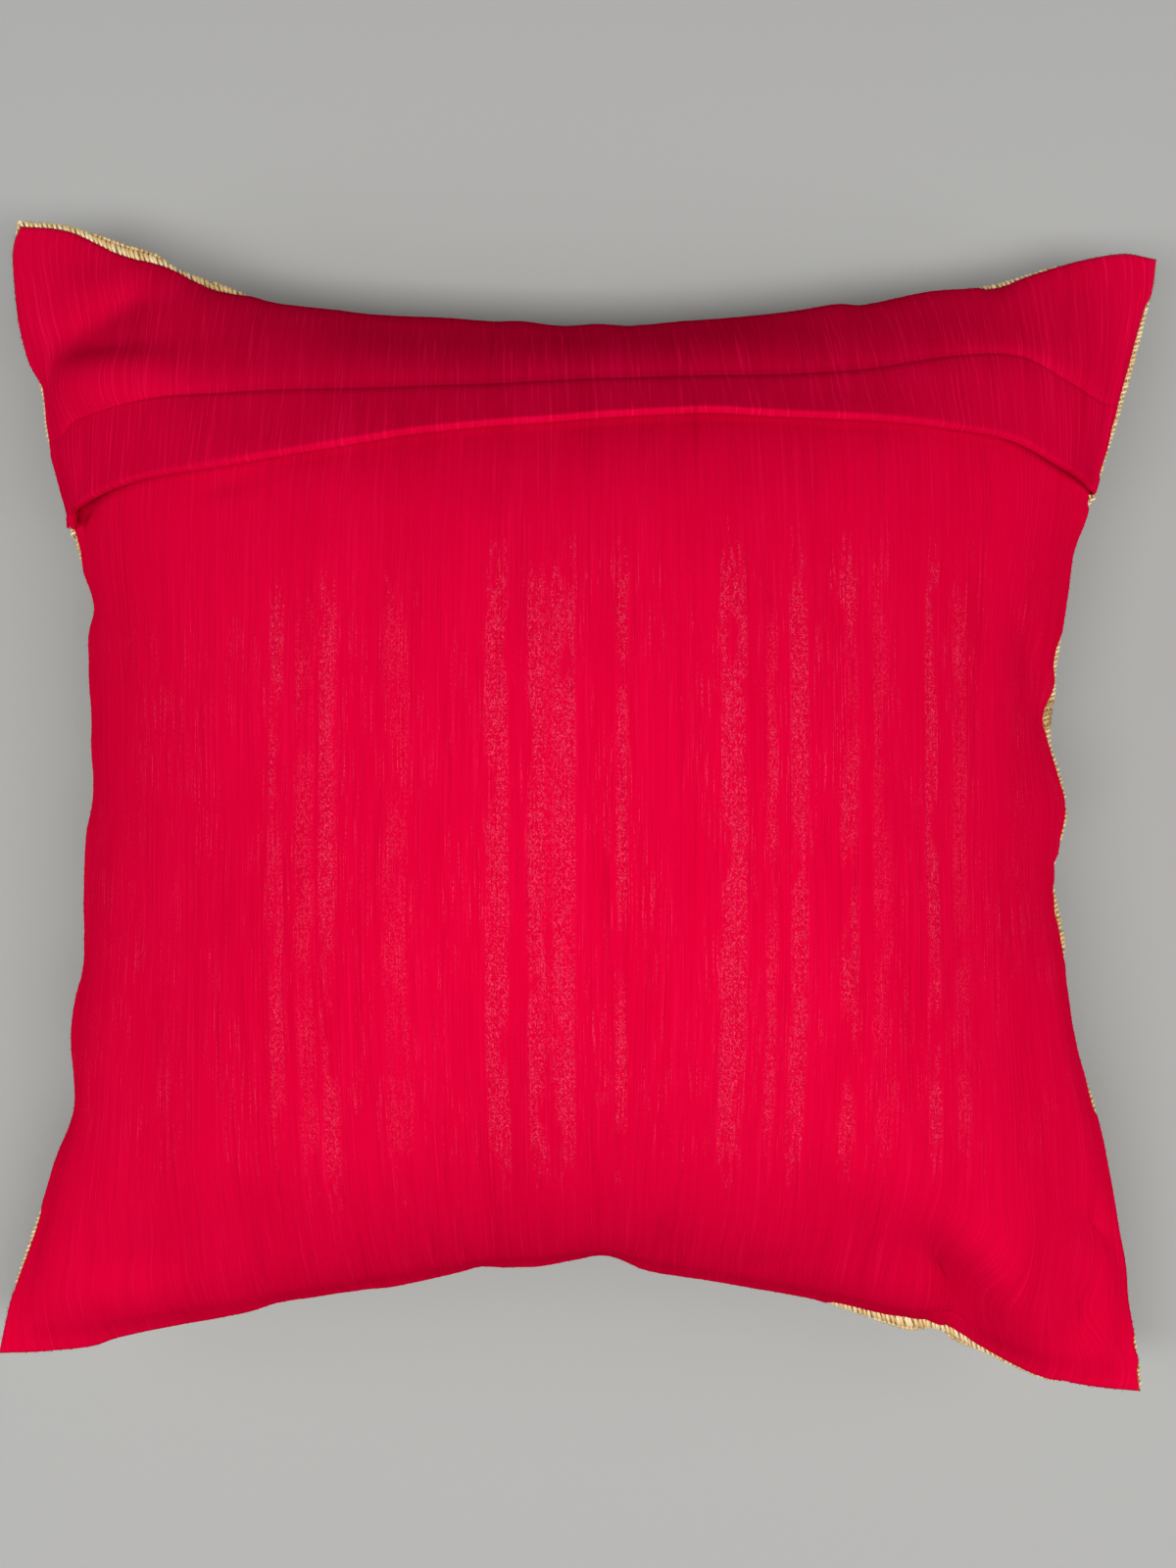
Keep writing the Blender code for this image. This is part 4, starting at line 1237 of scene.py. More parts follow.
@dataclass
class EdgeBeads:
    """Gold threads wrapped over the brocade's edge, as slanting beads where the edge shows.

    A wide strip has several rows of beads. Turns are angles round the lip in degrees, from
    outward at 0 to upward at 90. Spreads are the limits of the random draws.
    """

    front: FilledFront
    pitch: float = 1.6
    radius: Pair = (0.58, 0.76)
    row_width: float = 1.8
    most_rows: int = 4
    slant: float = 1.5
    steps: int = 8
    sides: int = 7
    end_turn: float = 0.2
    end_roundness: float = 0.45
    bow: float = 0.22
    lip_inset: float = 0.2
    lip_height: float = 1.1
    lip_drop: float = 1.2
    last_turn: float = -38.0
    row_gap_turn: float = 4.0
    most_hidden: float = 0.95
    tucked: float = 0.7
    least_strip: float = 0.3
    bare_size: float = 0.62
    size_growth: float = 0.25
    row_shade: float = 0.25
    tone: Pair = (0.35, 1.0)
    place_spread: Pair = (-0.16, 0.16)
    seed: int = 11
    # Stretches at the ears whose lip hardly shows but whose beads do: side, start, end share.
    bare: tuple[tuple[Side, float, float], ...] = (
        (BOTTOM, 0.138, 0.143), (BOTTOM, 0.162, 0.167),
    )
    # Stretches whose threads are painted darker, as shade: side, start share, end share, how much.
    shaded: tuple[tuple[Side, float, float, float], ...] = (
        (RIGHT, 0.386, 0.416, 0.55), (RIGHT, 0.57, 0.60, 0.3),
    )

    def path(self, side: Side, share: float, turns: Pair) -> Array:
        """The way of one bead's thread over the lip.

        Args:
            side: The side it lies on.
            share: Its place along the side.
            turns: Where it starts and ends.

        Returns:
            The points of the thread.
        """
        reach = float(self.front.reach(side, np.array(share)))
        turn = np.radians(np.linspace(*turns, self.steps))
        bow = self.bow * np.sin(np.linspace(0.0, math.pi, self.steps))
        out = np.cos(turn) * (reach - self.lip_inset + bow)
        height = np.sin(turn) * (self.lip_height + bow) - self.lip_drop
        points = side.seam(np.array(share)) + side.outward * out[:, None]
        points = points + np.array([0.0, 0.0, 1.0]) * height[:, None]
        return points + side.ahead * np.linspace(-0.5, 0.5, self.steps)[:, None] * self.slant

    def row_turns(self, side: Side, share: float) -> list[Pair]:
        """Turns that the rows of beads take at a share along a side."""
        place = np.array(share)
        width = float(side.strip_width(place))
        hidden = float(self.front.edge.overhang(side, place)) - self.tucked
        hidden = max(hidden, 0.0) / float(self.front.reach(side, place))
        rows = max(1, round(width / self.row_width))
        first = math.degrees(math.acos(min(hidden, self.most_hidden)))
        ends = np.linspace(first, self.last_turn, rows + 1)
        gap = self.row_gap_turn
        return [(float(start) + gap, float(end) - gap) for start, end in zip(ends, ends[1:])]

    def build(self) -> Piece:
        """Makes the beads of all sides as one piece."""
        dice = np.random.default_rng(self.seed)
        bundle = Strands("gold_edge_threads", self.sides)
        turn = np.linspace(self.end_turn, math.pi - self.end_turn, self.steps)
        taper = np.sin(turn) ** self.end_roundness
        behind = np.arange(self.most_rows) > 0
        for side in SIDES:
            pitch = self.pitch / side.length
            for share in np.arange(0.0, 1.0, pitch):
                drift = dice.uniform(*self.place_spread, self.most_rows) * pitch
                radius = dice.uniform(*self.radius, self.most_rows)
                tone = dice.uniform(*self.tone, self.most_rows) - self.row_shade * behind
                # Painted shade: the threads of these stretches are darker.
                for shaded, start, end, amount in self.shaded:
                    tone = tone - amount * (side is shaded and start <= share <= end)
                strip = float(side.strip_width(np.array(share)))
                is_bare = any(
                    side is bare and start <= share <= end for bare, start, end in self.bare
                )
                if strip < self.least_strip and not is_bare:
                    continue
                size = min(1.0, self.bare_size + self.size_growth * strip)
                for row, turns in enumerate(self.row_turns(side, float(share))):
                    place = float(share + drift[row] + 0.5 * (row % 2) * pitch)
                    path = self.path(side, place, turns)
                    bundle.add(path, radius[row] * size * taper, tone[row], side.ahead)
        return bundle.build()


class EndColour(Enum):
    """Colours of the loose thread ends at the bottom seam."""

    ORANGE = (1.0, 0.22, 0.03)
    VIOLET = (0.16, 0.04, 0.30)
    RUST = (0.75, 0.07, 0.02)
    GOLD = (0.80, 0.55, 0.25)


@dataclass
class SeamThreads:
    """Stitches over the seam's edge, frayed fibres and the loose thread ends.

    Turns are angles round the seam in degrees, from outward at 0 to upward at 90. The pairs
    of spreads, of lengths and of the fibres' ways are the limits of random draws.
    """

    stitch_pitch: float = 3.1
    stitch_radius: float = 0.13
    stitch_shares: Pair = (0.012, 0.988)
    stitch_turns: Pair = (64.0, -12.0)
    stitch_steps: int = 7
    stitch_off: float = 0.08
    stitch_lean: Pair = (1.0, -0.4)
    stitch_sides: int = 5
    turn_spread: Pair = (-15.0, 5.0)
    lean_spread: Pair = (-0.5, 0.5)
    share_spread: Pair = (-0.0015, 0.0015)
    fibre_shares: Pair = (0.01, 0.99)
    fibre_length: Pair = (0.5, 1.5)
    fibre_radius: Pair = (0.07, 0.12)
    fibre_parts: tuple[float, ...] = (0.0, 0.4, 0.75, 1.0)
    fibre_taper: tuple[float, ...] = (1.0, 0.9, 0.7, 0.35)
    fibre_sides: int = 3
    fibre_sunk: float = 0.2
    fibre_ahead: Pair = (-1.1, 1.1)
    fibre_up: Pair = (-0.3, 0.9)
    curl_ahead: Pair = (-0.35, 0.35)
    curl_up: Pair = (-0.4, 0.2)
    fibre_start: Pair = (-0.3, 0.7)
    fibres_per_length: float = 1.3
    end_copies: int = 3
    end_points: int = 6
    end_sides: int = 6
    end_off: float = 0.25
    end_height: float = 0.2
    end_thickness: float = 0.8
    bow_spread: Pair = (0.4, 0.8)
    length_spread: Pair = (0.7, 1.1)
    seed: int = 5
    # Frayed stretches: side, start share, end share, fibres for each unit of length.
    frayed: tuple[tuple[Side, float, float, float], ...] = (
        (TOP, 0.30, 0.53, 2.6), (BOTTOM, 0.05, 0.70, 1.2), (BOTTOM, 0.38, 0.60, 1.6),
    )
    # Loose ends at the bottom seam: share, length, radius, colour.
    ends: tuple[tuple[float, float, float, EndColour], ...] = (
        (0.140, 1.2, 0.26, EndColour.GOLD), (0.164, 1.0, 0.26, EndColour.GOLD),
        (0.386, 1.8, 0.28, EndColour.ORANGE), (0.401, 1.5, 0.28, EndColour.ORANGE),
        (0.411, 2.4, 0.28, EndColour.VIOLET), (0.422, 1.3, 0.26, EndColour.ORANGE),
        (0.446, 2.6, 0.30, EndColour.ORANGE), (0.453, 2.8, 0.30, EndColour.ORANGE),
        (0.461, 2.0, 0.26, EndColour.ORANGE), (0.510, 1.6, 0.28, EndColour.RUST),
        (0.545, 1.8, 0.28, EndColour.RUST), (0.724, 2.6, 0.34, EndColour.RUST),
        (0.727, 2.2, 0.34, EndColour.ORANGE), (0.729, 1.8, 0.30, EndColour.RUST),
    )

    def build_stitches(self, edge: CrimsonEdge) -> Piece:
        """Makes the small stitches that notch the crimson edge.

        Args:
            edge: The crimson cloth's edge.

        Returns:
            The stitches as one piece.
        """
        dice = np.random.default_rng(self.seed)
        bundle = Strands("seam_stitches", self.stitch_sides)
        start, end = self.stitch_turns
        for side in SIDES:
            shares = np.arange(*self.stitch_shares, self.stitch_pitch / side.length)
            for share in shares + dice.uniform(*self.share_spread, len(shares)):
                first = start + dice.uniform(*self.turn_spread)
                turns = np.linspace(first, end, self.stitch_steps)
                lean, tone = dice.uniform(*self.lean_spread), dice.uniform()
                path = edge.round_seam(side, float(share), turns, self.stitch_off)
                if len(path) < 3:
                    continue
                leaning = np.linspace(*self.stitch_lean, len(path))[:, None] * lean
                bundle.add(path + side.ahead * leaning, self.stitch_radius, tone, side.ahead)
        return bundle.build()

    def build_fibres(self) -> Piece:
        """Makes the frayed fibres along the seam as one piece."""
        dice = np.random.default_rng(self.seed + 1)
        bundle = Strands("frayed_fibres", self.fibre_sides)
        part = np.array(self.fibre_parts)[:, None]
        taper = np.array(self.fibre_taper)
        stretches = [(side, *self.fibre_shares, self.fibres_per_length) for side in SIDES]
        for side, start, end, density in stretches + list(self.frayed):
            outward, ahead = side.outward, side.ahead
            count = int((end - start) * side.length * density)
            for share in dice.uniform(start, end, count):
                length = dice.uniform(*self.fibre_length)
                way = outward + ahead * dice.uniform(*self.fibre_ahead)
                way = way + (0.0, 0.0, dice.uniform(*self.fibre_up))
                way /= np.linalg.norm(way)
                curl = ahead * dice.uniform(*self.curl_ahead)
                curl = curl + (0.0, 0.0, dice.uniform(*self.curl_up))
                root = side.seam(share) + (0.0, 0.0, dice.uniform(*self.fibre_start))
                root = root - outward * self.fibre_sunk
                path = root + way * length * part + curl * length * part**2
                bundle.add(path, dice.uniform(*self.fibre_radius) * taper, dice.uniform())
        return bundle.build()

    def build_ends(self) -> dict[EndColour, Piece]:
        """Makes the loose thread ends at the bottom seam, one piece for each colour."""
        dice = np.random.default_rng(self.seed + 2)
        bundles = {
            colour: Strands(f"loose_ends_{colour.name.lower()}", self.end_sides)
            for colour in EndColour
        }
        part = np.linspace(0.0, 1.0, self.end_points)[:, None]
        for share, length, radius, colour in self.ends:
            for _ in range(self.end_copies):
                here = BOTTOM.seam(share + dice.uniform(*self.share_spread))
                bow = np.sin(part * math.pi) * dice.uniform(*self.bow_spread)
                along = (part - 0.5) * length * dice.uniform(*self.length_spread)
                path = here + BOTTOM.ahead * along + BOTTOM.outward * (self.end_off + bow)
                path = path + np.array([0.0, 0.0, self.end_height]) * (1.0 - part)
                bundles[colour].add(path, radius * self.end_thickness, dice.uniform())
        return {colour: bundle.build() for colour, bundle in bundles.items()}


@dataclass(frozen=True)
class Grain:
    """A soft noise: how often it changes along x and y, its fineness, and where it starts.

    Spots are where it lies above its ramp, the levels that count as 0 and as 1.
    """

    x: float
    y: float
    ramp: Ramp = (0.0, 1.0)
    detail: float = 2.0
    roughness: float = 0.5
    x_start: float = 0.0
    y_start: float = 0.0


Number = Union[float, "Value"]


class Value:
    """A number or colour that varies over a surface, held by a socket of a material."""

    def __init__(self, paint: Paint, socket: bpy.types.NodeSocket) -> None:
        """Wraps a socket of a material."""
        self.paint = paint
        self.socket = socket

    def __add__(self, other: Number) -> Value:
        """Sum."""
        return self.paint.maths("ADD", self, other)

    def __sub__(self, other: Number) -> Value:
        """Difference."""
        return self.paint.maths("SUBTRACT", self, other)

    def __rsub__(self, other: Number) -> Value:
        """Difference from a number."""
        return self.paint.maths("SUBTRACT", other, self)

    def __mul__(self, other: Number) -> Value:
        """Product."""
        return self.paint.maths("MULTIPLY", self, other)

    __radd__ = __add__


class Paint:
    """The nodes of one material, and its surface shader."""

    def __init__(self, name: str, constants: dict[str, Any]) -> None:
        """Starts a material.

        Args:
            name: The material's name.
            constants: What is the same all over the surface, by the shader's socket.
        """
        self.material = bpy.data.materials.new(name)
        self.material.use_nodes = True
        self.tree = self.material.node_tree
        self.shader = self.tree.nodes["Principled BSDF"]
        for socket, constant in constants.items():
            self.feed(self.shader.inputs[socket], constant)

    def feed(self, socket: bpy.types.NodeSocket, given: Any) -> None:
        """Links a value to a socket, or sets the socket to a number or colour."""
        if isinstance(given, Value):
            self.tree.links.new(given.socket, socket)
        elif isinstance(given, tuple) and socket.type == "RGBA" and len(given) == 3:
            socket.default_value = (*given, 1.0)
        else:
            socket.default_value = given

    def node(
        self,
        kind: str,
        settings: dict[str, Any] | None = None,
        inputs: dict[str | int, Any] | None = None,
        output: str | int = 0,
    ) -> Value:
        """Adds a node.

        Args:
            kind: The node's type.
            settings: Its settings, and under "stops" a ramp's places with their colours.
            inputs: Links or values, by the socket's place or identifier.
            output: The output's place or identifier.

        Returns:
            The output's value.
        """
        made = self.tree.nodes.new(kind)
        for key, setting in (settings or {}).items():
            if key != "stops":
                setattr(made, key, setting)
                continue
            ramp = made.color_ramp
            ramp.elements.remove(ramp.elements[0])
            ramp.elements[0].position, ramp.elements[0].color = setting[0][0], (*setting[0][1], 1.0)
            for position, colour in setting[1:]:
                ramp.elements.new(position).color = (*colour, 1.0)
        for key, given in (inputs or {}).items():
            self.feed(self.found(made.inputs, key), given)
        return Value(self, self.found(made.outputs, output))

    @staticmethod
    def found(sockets: Any, key: str | int) -> bpy.types.NodeSocket:
        """Finds a socket by its place or its identifier."""
        if isinstance(key, int):
            return sockets[key]
        return next(socket for socket in sockets if socket.identifier == key)

    def maths(self, operation: str, first: Number, second: Number = 0.0) -> Value:
        """Adds a Math node."""
        return self.node("ShaderNodeMath", {"operation": operation}, {0: first, 1: second})

    def mix(self, share: Number, first: Any, second: Any) -> Value:
        """Mixes two colours."""
        given = {"Factor_Float": share, "A_Color": first, "B_Color": second}
        return self.node("ShaderNodeMix", {"data_type": "RGBA"}, given, "Result_Color")

    def step(self, value: Value, low: float, high: float) -> Value:
        """Runs smoothly from 0 at a low value to 1 at a high one."""
        settings = {"interpolation_type": "SMOOTHSTEP", "clamp": True}
        given = {"Value": value, "From Min": low, "From Max": high}
        return self.node("ShaderNodeMapRange", settings, given, "Result")

    def wave(self, phase: Value) -> Value:
        """A sine wave between 0 and 1."""
        return self.maths("SINE", phase) * 0.5 + 0.5

    def noise(self, x: Value, y: Value, grain: Grain) -> Value:
        """Soft noise, mostly from 0.25 to 0.75, of a given grain."""
        inputs = {0: x * grain.x + grain.x_start, 1: y * grain.y + grain.y_start}
        given = {"Vector": self.node("ShaderNodeCombineXYZ", inputs=inputs), "Scale": 1.0}
        given |= {"Detail": grain.detail, "Roughness": grain.roughness}
        return self.node("ShaderNodeTexNoise", {"noise_dimensions": "2D"}, given, "Fac")

    def spots(self, x: Value, y: Value, grain: Grain) -> Value:
        """Spots of a noise, from 0 beside them to 1 inside."""
        return self.step(self.noise(x, y, grain), *grain.ramp)

    def place(self, measure: str) -> tuple[Value, Value]:
        """Reads a measure stored in the mesh as its x and y, in millimetres."""
        read = self.node("ShaderNodeAttribute", {"attribute_name": measure}, output="Vector")
        x = self.node("ShaderNodeSeparateXYZ", inputs={0: read}, output=0)
        y = self.node("ShaderNodeSeparateXYZ", inputs={0: read}, output=1)
        return x * (1.0 / MM), y * (1.0 / MM)

    def measure(self, name: str, unit: float = 1.0) -> Value:
        """Reads a measure stored in the mesh, in a unit."""
        return self.node("ShaderNodeAttribute", {"attribute_name": name}, output="Fac") * (1 / unit)

    def finish(
        self, colour: Value, roughness: Value, height: Value, depth: float, metallic: Number = 0.0
    ) -> Material:
        """Joins the nodes to the shader.

        Args:
            colour: The base colour.
            roughness: The roughness.
            height: The relief, from 0 to 1.
            depth: The relief's depth in metres.
            metallic: The share of metal.

        Returns:
            The material.
        """
        relief = {"Strength": 1.0, "Distance": depth, "Height": height}
        normal = self.node("ShaderNodeBump", inputs=relief)
        given = {"Base Color": colour, "Roughness": roughness, "Metallic": metallic}
        for socket, value in (given | {"Normal": normal}).items():
            self.feed(self.shader.inputs[socket], value)
        return self.material


# Bands of painted glints, paler flecks where shiny slub threads catch the light on the crown:
# start, end, strength. Places are across the cloth.
GLINT_BANDS_LEFT = (
    (-98.6, -94.5, 0.65), (-90.0, -84.0, 0.35), (-81.5, -77.1, 0.6), (-61.8, -53.8, 0.3),
    (-30.1, -24.2, 0.85), (-17.0, -13.1, 0.85), (-10.4, -4.5, 0.75),
)
GLINT_BANDS_RIGHT = (
    (9.2, 11.2, 0.75), (40.7, 46.6, 1.0), (53.8, 57.1, 0.45), (61.7, 66.4, 1.0),
    (78.4, 82.4, 0.7), (88.8, 95.0, 0.3), (108.9, 112.8, 0.85), (120.5, 126.0, 0.35),
)


def weighed(parts: Sequence[Value], shares: Sequence[float]) -> Value:
    """Adds up values, each by its share."""
    total = parts[0] * shares[0]
    for part, share in zip(parts[1:], shares[1:]):
        total = total + part * share
    return total


@dataclass(frozen=True)
class CrimsonCloth:
    """Crimson slub cloth with fine warp lines, ribs and bands of paler flecks painted as glints,
    where its shiny threads catch the light on the crown.

    A ramp is a pair of levels: a value below the first counts as 0 and one above the second
    as 1. Shares say how strongly each part counts, in the order of the parts.
    """

    name: str = "crimson_slub_cloth"
    dark: Colour = (0.60, 0.0002, 0.026)
    base: Colour = (0.70, 0.0003, 0.034)
    bright: Colour = (0.78, 0.0010, 0.044)
    glint_fleck: Colour = (1.0, 0.048, 0.125)
    # Paler pink of the seam's edge: partly fray, partly painted light of back-lit fibres.
    edge: Colour = (0.55, 0.060, 0.085)
    rib: Colour = (0.86, 0.0040, 0.062)
    relief: float = 0.00022
    roughness: float = 0.80
    slub_gloss: float = 0.10
    # Threads of the weave, and how they make the cloth's tone and height.
    threads: Grain = Grain(1.0 / 0.62, 0.022, roughness=0.6)
    slubs: Grain = Grain(0.42, 0.010, roughness=0.55)
    columns: Grain = Grain(0.055, 0.006, y_start=5.0)
    weft: Grain = Grain(0.5, 1.7, roughness=0.6)
    tone_shares: tuple[float, float, float, float] = (0.60, 0.35, 0.35, 0.12)
    tone_middle: float = 0.71
    height_shares: tuple[float, float, float, float] = (0.45, 0.30, 0.25, 0.50)
    base_ramp: Ramp = (-0.30, 0.02)
    bright_ramp: Ramp = (0.00, 0.34)
    bright_share: float = 0.9
    # Ribs along the warp.
    rib_amount: float = 0.30
    rib_slant: float = 0.0
    rib_pitch: float = 2.3
    rib_waver: Grain = Grain(0.08, 0.01, detail=1.0)
    rib_waver_width: float = 4.0
    rib_grain: Grain = Grain(0.55, 0.016, roughness=0.6, y_start=9.0)
    rib_evenness: float = 0.09
    rib_ramp: Ramp = (0.51, 0.68)
    rib_thread_ramp: Ramp = (0.30, 0.60)
    # Painted glints, paler flecks of shiny threads catching the light on the crown: their bands,
    # where these end, and the flecks in and between them.
    glint_flecked: bool = True
    glint_share: float = 0.85
    glint_height: float = 0.5
    glint_top: float = 69.0
    glint_bottom: float = -112.0
    top_fade: float = 9.0
    bottom_fade: float = 12.0
    end_grain: Grain = Grain(0.9, 0.11)
    end_raggedness: float = 60.0
    end_slant: float = 0.07
    half_width: float = 200.0
    band_edge: float = 0.9
    band_drift: Grain = Grain(0.02, 0.01, detail=1.0)
    band_drift_width: float = 0.6
    band_ramp: Ramp = (0.05, 0.60)
    band_share: float = 0.95
    patches: Grain = Grain(0.12, 0.032, (0.24, 0.60))
    curls: Grain = Grain(0.75, 0.50, roughness=0.7)
    curl_ramp: Ramp = (0.012, 0.060)
    crumbs: Grain = Grain(1.8, 1.0, detail=1.0, roughness=0.6)
    crumb_ramp: Ramp = (0.28, 0.52)
    dashes: Grain = Grain(2.2, 0.05, (0.60, 0.70))
    dash_share: float = 0.55
    dash_crumb_ramp: Ramp = (0.38, 0.60)
    sparse: Grain = Grain(0.06, 0.020, (0.38, 0.62), x_start=3.0)
    # Paler edge along the seam: partly frayed cloth, partly painted light of its fibres lit from
    # behind.
    fuzz: Grain = Grain(2.4, 2.4, (0.30, 0.62))
    fray_glow_inset: Ramp = (0.15, 0.95)
    fray_glow_share: float = 0.6

    def bands(self, paint: Paint, across: Value) -> Value:
        """Strength of the painted glint bands at each place across the cloth."""
        total: Number = 0.0
        place = (across + self.half_width) * (0.5 / self.half_width)
        for rows in (GLINT_BANDS_LEFT, GLINT_BANDS_RIGHT):
            stops: list[tuple[float, Colour]] = []
            for start, end, strength in rows:
                places = (start - self.band_edge, start, end, end + self.band_edge)
                for position, level in zip(places, (0.0, strength, strength, 0.0)):
                    share = (position + self.half_width) * 0.5 / self.half_width
                    stops.append((share, (level,) * 3))
            settings = {"stops": tuple(stops)}
            total = total + paint.node("ShaderNodeValToRGB", settings, {"Fac": place}, "Color")
        return total

    def glint_flecks(self, paint: Paint, across: Value, up: Value) -> Value:
        """Share of painted glint, a paler fleck kept to the crown, at each place of the cloth."""
        width = self.band_drift_width
        drift = paint.noise(up, across, self.band_drift) * width - 0.5 * width
        band = self.bands(paint, across + drift)
        reach = up + (paint.noise(across, up, self.end_grain) - 0.5) * self.end_raggedness
        reach = reach - across * self.end_slant
        # The painted glints stay on the crown, where the cloth faces the light.
        low, top = self.glint_bottom, self.glint_top
        within = paint.step(reach, low - self.bottom_fade, low + self.bottom_fade)
        within = within * (1.0 - paint.step(reach, top - self.top_fade, top + self.top_fade))
        patchy = paint.spots(across, up, self.patches)
        curl = paint.maths("ABSOLUTE", paint.noise(across, up, self.curls) - 0.5)
        crumbs = paint.noise(across, up, self.crumbs)
        glint_fleck = (1.0 - paint.step(curl, *self.curl_ramp)) * paint.step(crumbs, *self.crumb_ramp)
        in_band = glint_fleck * paint.step(band * patchy, *self.band_ramp)
        dashes = paint.spots(across, up, self.dashes)
        sparse = paint.spots(across, up, self.sparse)
        broken = paint.step(crumbs, *self.dash_crumb_ramp)
        return (in_band * self.band_share + dashes * sparse * broken * self.dash_share) * within

    def ribs(self, paint: Paint, across: Value, up: Value, threads: Value) -> Value:
        """Share of rib at each place of the cloth."""
        slanted = across + up * self.rib_slant
        waver = paint.noise(slanted, up, self.rib_waver) * self.rib_waver_width
        even = paint.maths("SINE", (slanted + waver) * (2.0 * math.pi / self.rib_pitch))
        uneven = paint.noise(slanted, up, self.rib_grain)
        ribs = paint.step(uneven + even * self.rib_evenness, *self.rib_ramp)
        return ribs * paint.step(threads, *self.rib_thread_ramp)

    def material(self) -> Material:
        """Makes the cloth's material."""
        paint = Paint(self.name, {"Specular IOR Level": 0.0})
        across, up = paint.place("cloth")
        seam = paint.measure("seam", MM)
        grains = (self.threads, self.slubs, self.columns, self.weft)
        threads, slubs, columns, weft = (paint.noise(across, up, grain) for grain in grains)
        tone = weighed((threads, slubs, columns, weft), self.tone_shares) - self.tone_middle
        colour = paint.mix(paint.step(tone, *self.base_ramp), self.dark, self.base)
        bright = paint.step(tone, *self.bright_ramp) * self.bright_share
        colour = paint.mix(bright, colour, self.bright)
        ribs = self.ribs(paint, across, up, threads)
        colour = paint.mix(ribs * self.rib_amount, colour, self.rib)
        height = weighed((threads, slubs, weft, ribs), self.height_shares)
        # Painted glints: paler flecks of shiny threads where the crown catches the light.
        if self.glint_flecked:
            glint_flecks = self.glint_flecks(paint, across, up)
            colour = paint.mix(glint_flecks * self.glint_share, colour, self.glint_fleck)
            height = height + glint_flecks * self.glint_height
        # Paler edge by the seam: fray, with painted light of its back-lit fibres.
        fuzz = paint.spots(across, up, self.fuzz)
        fray_and_glow = (1.0 - paint.step(seam, *self.fray_glow_inset)) * fuzz
        colour = paint.mix(fray_and_glow * self.fray_glow_share, colour, self.edge)
        return paint.finish(colour, self.roughness - slubs * self.slub_gloss, height, self.relief)


@dataclass(frozen=True)
class GoldBrocade:
    """Ribbed brocade of slanting gold and cream threads.

    A ramp is a pair of levels that count as 0 and as 1.
    """

    name: str = "gold_brocade"
    gap: Colour = (0.16, 0.085, 0.028)
    gold: Colour = (0.72, 0.47, 0.19)
    cream: Colour = (0.90, 0.74, 0.50)
    pitch: float = 1.3
    pick_pitch: float = 2.1
    pick_share: float = 0.25
    slant: float = 0.65
    relief: float = 0.00045
    sheen: float = 0.4
    roughness: float = 0.62
    thread_gloss: float = 0.22
    metallic: float = 0.45
    waver: Grain = Grain(0.12, 0.12)
    waver_width: float = 1.6
    strands: Grain = Grain(1.0 / 1.3, 0.15)
    patches: Grain = Grain(0.03, 0.03)
    patch_share: float = 0.8
    gold_ramp: Ramp = (0.05, 0.55)
    cream_ramp: Ramp = (0.45, 1.0)
    cream_share: float = 0.8
    metal_ramp: Ramp = (0.2, 0.9)

    def material(self) -> Material:
        """Makes the brocade's material."""
        paint = Paint(self.name, {"Specular IOR Level": self.sheen})
        across, up = paint.place("cloth")
        slanted = across + up * self.slant
        waver = paint.noise(across, up, self.waver) * self.waver_width
        ridge = paint.wave((slanted + waver) * (2.0 * math.pi / self.pitch))
        pick = paint.wave((up - across * self.slant) * (2.0 * math.pi / self.pick_pitch))
        thread = ridge * (1.0 - self.pick_share) + ridge * pick * self.pick_share
        colour = paint.mix(paint.step(thread, *self.gold_ramp), self.gap, self.gold)
        patch = (paint.noise(across, up, self.patches) - 0.5) * self.patch_share
        level = thread + paint.noise(slanted, up, self.strands) - 0.5 + patch
        pale = paint.step(level, *self.cream_ramp) * self.cream_share
        colour = paint.mix(pale, colour, self.cream)
        metal = paint.step(thread, *self.metal_ramp) * self.metallic
        roughness = self.roughness - thread * self.thread_gloss
        return paint.finish(colour, roughness, thread, self.relief, metal)


@dataclass(frozen=True)
class TwistedThread:
    """Spun thread, from its dark tone to its bright one. A ramp is two levels, 0 and 1."""

    name: str
    dark: Colour
    middle: Colour
    bright: Colour
    metallic: float = 0.0
    roughness: float = 0.7
    sheen: float = 0.3
    relief: float = 0.00008
    grain: float = 3.2
    grain_detail: float = 2.0
    grain_roughness: float = 0.6
    grain_gloss: float = 0.15
    tone_share: float = 0.7
    grain_share: float = 0.9
    level_drop: float = 0.3
    middle_ramp: Ramp = (0.0, 0.45)
    bright_ramp: Ramp = (0.40, 0.95)

    def material(self) -> Material:
        """Makes the thread's material."""
        paint = Paint(self.name, {"Specular IOR Level": self.sheen})
        place = paint.node("ShaderNodeTexCoord", output="Object")
        given = {"Vector": place, "Scale": self.grain / MM}
        given |= {"Detail": self.grain_detail, "Roughness": self.grain_roughness}
        grain = paint.node("ShaderNodeTexNoise", inputs=given, output="Fac")
        level = weighed((paint.measure("tone"), grain), (self.tone_share, self.grain_share))
        level = level - self.level_drop
        colour = paint.mix(paint.step(level, *self.middle_ramp), self.dark, self.middle)
        colour = paint.mix(paint.step(level, *self.bright_ramp), colour, self.bright)
        roughness = self.roughness - grain * self.grain_gloss
        metallic = grain * (self.metallic * 2.0)
        return paint.finish(colour, roughness, grain, self.relief, metallic)


GOLD_THREAD = TwistedThread(
    "gold_thread", (0.36, 0.20, 0.06), (0.82, 0.58, 0.25), (1.0, 0.83, 0.52),
    metallic=0.25, roughness=0.55,
)
STITCH_THREAD = TwistedThread(
    "dark_red_thread", (0.20, 0.0, 0.010), (0.30, 0.001, 0.014), (0.40, 0.003, 0.020), sheen=0.02
)
